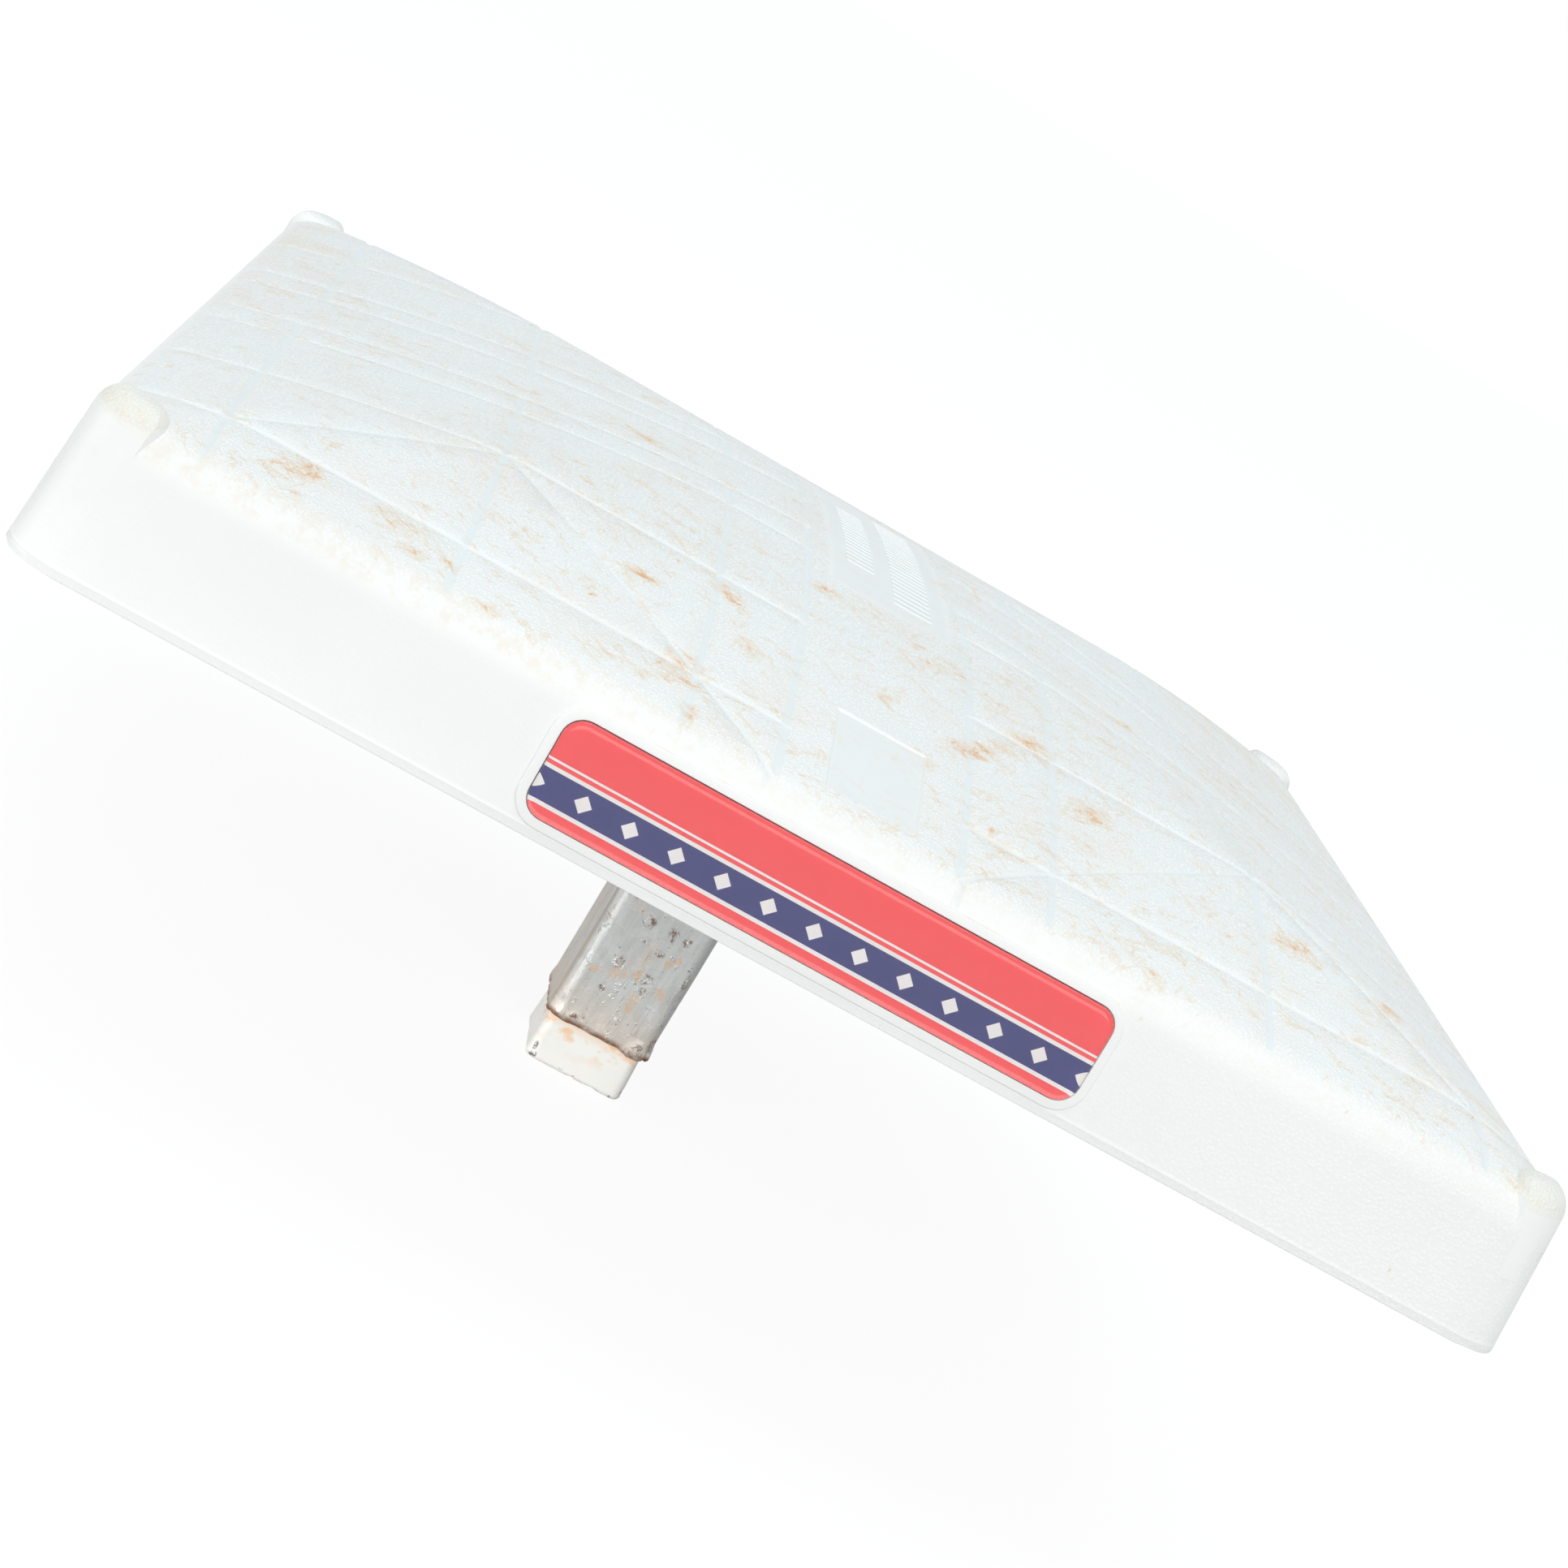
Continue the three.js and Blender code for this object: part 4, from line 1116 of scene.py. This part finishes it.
    def recesses(self, label):
        """The label's seat and the stepped holes for the lip screws."""
        bm = bmesh.new()
        clear_of_side = 0.004
        label_slab(bm, label, label.seat_gap, -label.seat_depth, clear_of_side, 0)
        head, head_low, head_high = 0.0043, -0.001, 0.0026
        hole, hole_high = 0.0023, 0.006
        profile = [(0, head_low), (head, head_low), (head, head_high), (hole, head_high),
                   (hole, hole_high), (0, hole_high)]
        for place in screw_places():
            turned(bm, profile, place, steps=32)
        face_outwards(bm)
        for face in bm.faces:
            face.material_index = SMOOTH
        return bm


# Label

class BASE_OT_label(bpy.types.Operator):
    """Finishes the label: adhesive, printed film and the clear dome over them"""

    bl_idname = "base.label"
    bl_label = "Label"

    def execute(self, context):
        label = context.scene.base_label
        dress("label_print", printed_film(label))
        dress("label_adhesive", moulded_plastic("adhesive_white", (0.7, 0.7, 0.68), (0.6, 0.55, 0.5)))
        bm = bmesh.new()
        face = rounded_sheet(bm, PRINT_HALF, label.height / 2, label.corner, label.dome_low, steps=10)
        top = raise_face(bm, face, label.dome_edge)
        steps = 8
        turn = math.pi / 2 / steps
        shoulder = []
        for step in range(steps):
            width = label.dome_shoulder * (math.cos(step * turn) - math.cos((step + 1) * turn))
            rise = label.dome_rise * (math.sin((step + 1) * turn) - math.sin(step * turn))
            shoulder.append((width, rise))
        crown = [(0.0009, 0.00006), (0.0012, 0.00006), (0.0012, 0.00003)]
        for width, rise in shoulder + crown:
            bmesh.ops.inset_region(bm, faces=[top], thickness=width, depth=rise, use_even_offset=True)
        face_outwards(bm)
        place_on_side(bm, label, bm.verts)
        add_piece(bm, "clear_dome", ["label_dome"], [clear_resin()], math.radians(50))
        return {'FINISHED'}


# Stanchion

def in_marks(point, marks):
    """How near a point of a front face lies to the middle of a mark: one there, nothing outside all."""
    nearest = 0.0
    for mark in marks:
        x, z, wide, high = (value / 1000 for value in mark)
        nearest = max(nearest, 1 - math.hypot((point.x - x) / wide, (point.z - z) / high))
    return nearest


class BASE_OT_tube(bpy.types.Operator):
    """Builds the worn galvanised tube with its eased rims and small dents"""

    bl_idname = "base.tube"
    bl_label = "Stanchion tube"

    def execute(self, context):
        stanchion = context.scene.base_stanchion
        bm = bmesh.new()
        half = TUBE_HIGH.x
        face = rounded_sheet(bm, half, half, stanchion.tube_corner, TUBE_LOW.z, steps=8)
        bmesh.ops.inset_region(
            bm, faces=[face], thickness=stanchion.tube_wall, use_even_offset=True, use_boundary=True)
        bmesh.ops.delete(bm, geom=[face], context='FACES_ONLY')
        made = bmesh.ops.extrude_face_region(bm, geom=bm.faces[:])["geom"]
        height = TUBE_HIGH.z - TUBE_LOW.z
        bmesh.ops.translate(bm, vec=(0, 0, height), verts=of_kind(made, bmesh.types.BMVert))
        face_outwards(bm)
        ends = [edge for edge in bm.edges
                if edge.verts[0].co.z == edge.verts[1].co.z and edge.calc_face_angle() > 1]
        rim_ease = 0.0005
        ease_edges(bm, ends, rim_ease, steps=2)
        pitch = 0.001
        first_cut = 0.0006
        for step in range(109):
            cut(bm, (0, 0, TUBE_LOW.z + first_cut + pitch * step), UP)
        cut_both_ways(bm, pitch=pitch, count=13)
        bm.normal_update()
        inner = half - stanchion.tube_wall / 2
        worn_up_to = -0.004
        for vert in bm.verts:
            if max(abs(vert.co.x), abs(vert.co.y)) > inner and vert.co.z < worn_up_to:
                vert.co += vert.normal * self.wear(vert.co, half)
        worn = galvanised_steel(stanchion, context.scene.base_cover, "worn_galvanised", True)
        add_piece(bm, "worn_tube", ["stanchion_tube"], [worn])
        return {'FINISHED'}

    def wear(self, point, half):
        """How far the outside is beaten out or in at a point."""
        wave_depth = 0.00012
        dent_depth = 0.0004
        crust_height = 0.0006
        rim_height = 0.007
        wave = min(noise.noise(point * 70), 0.4) * wave_depth
        dent = soft_step(noise.noise(point * 150 + Vector((4, 2, 9))), 0.42, 0.75) * dent_depth
        rough = noise.noise(point * 560) + 0.7 * noise.noise(point * 1100)
        uneven = 0.5 + noise.noise(point * 330)
        on_front = point.y < -half * 0.8
        crust = in_marks(point, CRUST_ON_TUBE) * uneven * rough * crust_height if on_front else 0.0
        low = soft_step(point.z, TUBE_LOW.z + rim_height, TUBE_LOW.z)
        rim = low * (0.0003 + 0.0005 * noise.noise(point * 210 + Vector((1, 7, 3))))
        struck = low * soft_step(point.x - point.y, half * 1.3, half * 1.75) * (0.0006 + 0.0005 * rough)
        return crust + rim + struck - wave - dent


class BASE_OT_plug(bpy.types.Operator):
    """Builds the white plug with its rounded end and chipped edges"""

    bl_idname = "base.plug"
    bl_label = "End plug"

    def execute(self, context):
        stanchion = context.scene.base_stanchion
        bm = bmesh.new()
        tip = PLUG_HIGH.x
        head = tip - stanchion.plug_flare
        stem = TUBE_HIGH.x - stanchion.tube_wall - stanchion.plug_gap
        clear_of_tube = 0.0002
        shoulder = TUBE_LOW.z - clear_of_tube
        face = rounded_sheet(bm, tip, tip, stanchion.plug_corner, PLUG_LOW.z, steps=8)
        shown = raise_face(bm, face, shoulder - PLUG_LOW.z, head / tip)
        bmesh.ops.inset_region(bm, faces=[shown], thickness=head - stem, depth=0, use_even_offset=True)
        raise_face(bm, shown, PLUG_HIGH.z - shoulder)
        bmesh.ops.delete(bm, geom=[shown], context='FACES_ONLY')
        face_outwards(bm)
        ease_edges(bm, edges_at_foot(bm, PLUG_LOW.z), stanchion.plug_round, steps=7)
        level_pitch = 0.0012
        for step in range(1, 14):
            cut(bm, (0, 0, PLUG_LOW.z + level_pitch * step), UP)
        cut_both_ways(bm, pitch=0.002, count=7)
        bm.normal_update()
        deepest = 0.0008
        for vert in bm.verts:
            low = soft_step(vert.co.z, PLUG_LOW.z + 0.006, PLUG_LOW.z + 0.0005)
            edge = soft_step(max(abs(vert.co.x), abs(vert.co.y)), tip - 0.004, tip - 0.001)
            chip = soft_step(noise.noise(vert.co * 260 + Vector((3, 1, 5))), 0.3, 0.7) * 0.4
            if vert.co.y < -0.8 * tip:
                chip += in_marks(vert.co, CHIPS_ON_PLUG)
            vert.co -= vert.normal * (low * edge * chip * deepest)
        material = stained_plug(stanchion, context.scene.base_cover)
        add_piece(bm, "white_plug", ["end_plug"], [material])
        return {'FINISHED'}


class BASE_OT_weld(bpy.types.Operator):
    """Lays the rippled weld bead round the head of the tube"""

    bl_idname = "base.weld"
    bl_label = "Weld bead"

    def execute(self, context):
        bm = bmesh.new()
        bm.from_mesh(frame["nodes"]["weld_bead"].data)
        bmesh.ops.remove_doubles(bm, verts=bm.verts, dist=SAME_POINT)
        cut_both_ways(bm, pitch=0.0023, count=9)
        bmesh.ops.triangulate(bm, faces=bm.faces)
        bmesh.ops.subdivide_edges(bm, edges=bm.edges, cuts=1, use_grid_fill=True)
        bm.normal_update()
        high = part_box("weld_bead")[1].z - 0.0003
        inner = TUBE_HIGH.x + 0.0012
        ripples = 34
        ripple_depth = 0.00022
        for vert in bm.verts:
            if max(abs(vert.co.x), abs(vert.co.y)) > inner and vert.co.z < high:
                turn = math.atan2(vert.co.y, vert.co.x)
                ripple = math.sin(turn * ripples + 1.6 * noise.noise(vert.co * 90))
                vert.co -= vert.normal * ripple_depth * (1 + ripple)
        metal = weld_metal("weld_grey")
        add_piece(bm, "rippled_weld", ["weld_bead"], [metal], math.radians(60))
        return {'FINISHED'}


# Fasteners

def middle_of(node):
    """Middle, lowest corner and highest corner of a node's box."""
    low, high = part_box(node)
    return (low + high) / 2, low, high


class BASE_OT_bolts(bpy.types.Operator):
    """Builds the four hex bolts with chamfered heads, and their washers"""

    bl_idname = "base.bolts"
    bl_label = "Bolts and washers"

    def execute(self, context):
        stanchion = context.scene.base_stanchion
        plated = bare_metal("bright_zinc", stanchion.bright_zinc, 0.34)
        for i in range(1, 5):
            self.bolt(stanchion, f"anchor_bolt_{i}", f"hex_bolt_{i}", plated)
            self.washer(stanchion, f"bolt_washer_{i}", f"round_washer_{i}", plated)
        return {'FINISHED'}

    def bolt(self, stanchion, node, name, plated):
        middle, low, high = middle_of(node)
        bm = bmesh.new()
        corners = stanchion.bolt_flats / 2 / math.cos(math.pi / 6)
        verts = bmesh.ops.create_circle(bm, cap_ends=True, segments=6, radius=corners)["verts"]
        bmesh.ops.rotate(bm, verts=verts, cent=(0, 0, 0), matrix=Matrix.Rotation(math.pi / 6, 3, 'Z'))
        bmesh.ops.translate(bm, vec=(0, 0, low.z), verts=verts)
        bm.faces.ensure_lookup_table()
        raise_face(bm, bm.faces[0], stanchion.bolt_head)
        face_outwards(bm)
        head_ease = 0.0007
        ease_edges(bm, edges_at_foot(bm, low.z), head_ease, steps=2)
        tip = 0.001
        radius = stanchion.bolt_diameter / 2
        start = low.z + stanchion.bolt_head / 2
        shank = [(0, start), (radius, start), (radius, high.z - tip), (radius - tip, high.z), (0, high.z)]
        post = bmesh.new()
        turned(post, shank, (0, 0), steps=32)
        face_outwards(post)
        bm = combine(bm, post, 'UNION')
        bmesh.ops.translate(bm, vec=(middle.x, middle.y, 0), verts=bm.verts)
        add_piece(bm, name, [node], [plated])

    def washer(self, stanchion, node, name, plated):
        middle, low, high = middle_of(node)
        outer = (high.x - low.x) / 2
        clearance = 0.0003
        inner = stanchion.bolt_diameter / 2 + clearance
        ease = 0.0003
        bm = bmesh.new()
        section = [(inner, low.z), (outer - ease, low.z), (outer, low.z + ease), (outer, high.z - ease),
                   (outer - ease, high.z), (inner, high.z), (inner, low.z)]
        turned(bm, section, (middle.x, middle.y), steps=40)
        face_outwards(bm)
        add_piece(bm, name, [node], [plated])


class BASE_OT_screws(bpy.types.Operator):
    """Builds the eight lip screws with a cross recess in each head"""

    bl_idname = "base.screws"
    bl_label = "Lip screws"

    def execute(self, context):
        stanchion = context.scene.base_stanchion
        plated = bare_metal("screw_zinc", stanchion.bright_zinc, 0.36)
        for i, place in enumerate(screw_places(), 1):
            self.screw(stanchion, place, f"lip_screw_{i}", f"cross_screw_{i}", plated)
        return {'FINISHED'}

    def screw(self, stanchion, place, node, name, plated):
        low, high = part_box(node)
        radius = (high.x - low.x) / 2
        shank = stanchion.screw_diameter / 2
        neck = low.z + stanchion.screw_head
        point = 0.003
        profile = [(0, low.z), (radius * 0.55, low.z + 0.00015), (radius * 0.82, low.z + 0.0006),
                   (radius, low.z + 0.0013), (radius, neck), (shank, neck), (shank, high.z - point),
                   (0, high.z)]
        bm = bmesh.new()
        turned(bm, profile, (0, 0), steps=28)
        face_outwards(bm)
        slot_size = (0.0044, 0.0009, 0.0022)
        for turn in (0, math.pi / 2):
            slot = bmesh.new()
            verts = bmesh.ops.create_cube(slot, size=1)["verts"]
            bmesh.ops.scale(slot, vec=slot_size, verts=verts)
            bmesh.ops.rotate(slot, verts=verts, cent=(0, 0, 0), matrix=Matrix.Rotation(turn, 3, 'Z'))
            bmesh.ops.translate(slot, vec=(0, 0, low.z), verts=verts)
            bm = combine(bm, slot, 'DIFFERENCE')
        bmesh.ops.translate(bm, vec=(place[0], place[1], 0), verts=bm.verts)
        add_piece(bm, name, [node], [plated])


class BASE_OT_inside(bpy.types.Operator):
    """Finishes the pieces whose solids stay as they are: frame, plate and inserts"""

    bl_idname = "base.inside"
    bl_label = "Frame, plate and inserts"

    def execute(self, context):
        stanchion = context.scene.base_stanchion
        cover = context.scene.base_cover
        black = moulded_plastic("frame_black", tuple(stanchion.frame), (0.25, 0.2, 0.16))
        dress("support_frame", black)
        dress("anchor_plate", galvanised_steel(stanchion, cover, "plate_galvanised", False))
        brass = bare_metal("insert_brass", stanchion.brass, 0.3)
        for i in range(1, 5):
            dress(f"threaded_insert_{i}", brass)
        return {'FINISHED'}


# Stage

def white_for_sight(tree, plain, white):
    """Shows a plain white surface to sight and reflections, and another shader to the light."""
    path = tree.nodes.new("ShaderNodeLightPath")
    seen = path.outputs["Is Camera Ray"]
    for ray in ("Is Glossy Ray", "Is Transmission Ray"):
        either = tree.nodes.new("ShaderNodeMath")
        either.operation = 'MAXIMUM'
        tree.links.new(seen, either.inputs[0])
        tree.links.new(path.outputs[ray], either.inputs[1])
        seen = either.outputs["Value"]
    mix = tree.nodes.new("ShaderNodeMixShader")
    tree.links.new(seen, mix.inputs[0])
    tree.links.new(plain, mix.inputs[1])
    tree.links.new(white, mix.inputs[2])
    return mix.outputs["Shader"]


class BASE_OT_stage(bpy.types.Operator):
    """Sets the floor, the soft light and the camera"""

    bl_idname = "base.stage"
    bl_label = "Stage"

    def execute(self, context):
        stage = context.scene.base_stage
        self.floor(stage)
        self.world(context.scene, stage)
        self.soft_box("key_light", (0.05, -2.2, 0.75), (2.4, 1.1), stage.key_power, stage.warm)
        self.soft_box("top_light", (0.0, 0.2, 2.2), (2.4, 2.4), stage.top_power, stage.sky)
        self.soft_box("strip_light", (-1.6, -0.35, 0.02), (0.1, 0.5), stage.strip_power, stage.warm)
        self.low_light((-1.4, -1.75, -0.03), stage.low_power)
        lens = bpy.data.cameras.new("camera")
        lens.lens = stage.camera_lens
        lens.sensor_width = 36
        lens.clip_end = 200
        camera = bpy.data.objects.new("camera", lens)
        camera.location = stage.camera_place
        camera.rotation_euler = stage.camera_turn
        context.scene.collection.objects.link(camera)
        context.scene.camera = camera
        context.scene.view_settings.view_transform = 'Standard'
        return {'FINISHED'}

    def floor(self, stage):
        """A pale floor that shows white and keeps the base's shadow."""
        bm = bmesh.new()
        bmesh.ops.create_grid(bm, x_segments=1, y_segments=1, size=stage.floor_size / 2)
        clear_of_plug = 0.0002
        bmesh.ops.translate(bm, vec=(0, 0, PLUG_LOW.z - clear_of_plug), verts=bm.verts)
        mesh = bpy.data.meshes.new("floor")
        bm.to_mesh(mesh)
        bm.free()
        material = bpy.data.materials.new("floor_white")
        material.use_nodes = True
        tree = material.node_tree
        matt = tree.nodes["Principled BSDF"]
        matt.inputs["Base Color"].default_value = (0.55, 0.55, 0.55, 1)
        matt.inputs["Roughness"].default_value = 1.0
        glow = tree.nodes.new("ShaderNodeEmission")
        paper = tree.nodes.new("ShaderNodeBsdfDiffuse")
        glow.inputs["Strength"].default_value = 0.92
        paper.inputs["Color"].default_value = (0.12, 0.12, 0.12, 1)
        part = tree.nodes.new("ShaderNodeAddShader")
        tree.links.new(paper.outputs["BSDF"], part.inputs[0])
        tree.links.new(glow.outputs["Emission"], part.inputs[1])
        shader = white_for_sight(tree, matt.outputs["BSDF"], part.outputs["Shader"])
        tree.links.new(shader, tree.nodes["Material Output"].inputs["Surface"])
        mesh.materials.append(material)
        floor = bpy.data.objects.new("floor", mesh)
        bpy.context.scene.collection.objects.link(floor)

    def world(self, scene, stage):
        world = bpy.data.worlds.new("studio")
        world.use_nodes = True
        tree = world.node_tree
        soft = tree.nodes["Background"]
        soft.inputs["Color"].default_value = (*stage.sky, 1)
        soft.inputs["Strength"].default_value = stage.sky_level
        white = tree.nodes.new("ShaderNodeBackground")
        white.inputs["Color"].default_value = (1, 1, 1, 1)
        shader = white_for_sight(tree, soft.outputs["Background"], white.outputs["Background"])
        tree.links.new(shader, tree.nodes["World Output"].inputs["Surface"])
        scene.world = world

    def soft_box(self, name, place, size, watts, tint):
        light = bpy.data.lights.new(name, 'AREA')
        light.color = tint
        light.shape = 'RECTANGLE'
        light.size, light.size_y = size
        light.energy = watts
        self.aim(light, place, (0, 0, 0))

    def low_light(self, place, watts):
        """A narrow beam that passes under the front side and reaches only the tube and the plug."""
        light = bpy.data.lights.new("low_light", 'SPOT')
        light.energy = watts
        light.spot_size = math.radians(4.4)
        light.spot_blend = 0.8
        light.shadow_soft_size = 0.08
        above_plug_end = 0.014
        self.aim(light, place, (0, 0, PLUG_LOW.z + above_plug_end))

    def aim(self, light, place, target):
        lamp = bpy.data.objects.new(light.name, light)
        lamp.location = place
        lamp.rotation_euler = (Vector(target) - Vector(place)).to_track_quat('-Z', 'Y').to_euler()
        bpy.context.scene.collection.objects.link(lamp)


class BASE_PT_panel(bpy.types.Panel):
    """Lists the pieces of the base"""

    bl_idname = "BASE_PT_panel"
    bl_label = "Baseball base"
    bl_space_type = 'VIEW_3D'
    bl_region_type = 'UI'
    bl_category = "Base"

    def draw(self, context):
        for operator in OPERATORS:
            self.layout.operator(operator.bl_idname)
        for name in SETTINGS:
            settings = getattr(context.scene, name)
            box = self.layout.box()
            for field in settings.__annotations__:
                box.prop(settings, field)


SETTINGS = {
    "base_cover": BaseCoverSettings,
    "base_label": BaseLabelSettings,
    "base_stanchion": BaseStanchionSettings,
    "base_stage": BaseStageSettings,
}
OPERATORS = (
    BASE_OT_cover, BASE_OT_label, BASE_OT_tube, BASE_OT_plug, BASE_OT_weld, BASE_OT_bolts, BASE_OT_screws,
    BASE_OT_inside, BASE_OT_stage,
)


def register():
    for name, settings in SETTINGS.items():
        bpy.utils.register_class(settings)
        setattr(bpy.types.Scene, name, bpy.props.PointerProperty(type=settings))
    for operator in OPERATORS:
        bpy.utils.register_class(operator)
    bpy.utils.register_class(BASE_PT_panel)


def unregister():
    bpy.utils.unregister_class(BASE_PT_panel)
    for operator in reversed(OPERATORS):
        bpy.utils.unregister_class(operator)
    for name, settings in SETTINGS.items():
        delattr(bpy.types.Scene, name)
        bpy.utils.unregister_class(settings)


def main():
    register()
    bpy.ops.base.stage()
    bpy.ops.base.cover()
    bpy.ops.base.label()
    bpy.ops.base.tube()
    bpy.ops.base.plug()
    bpy.ops.base.weld()
    bpy.ops.base.bolts()
    bpy.ops.base.screws()
    bpy.ops.base.inside()


if __name__ == "__main__":
    main()
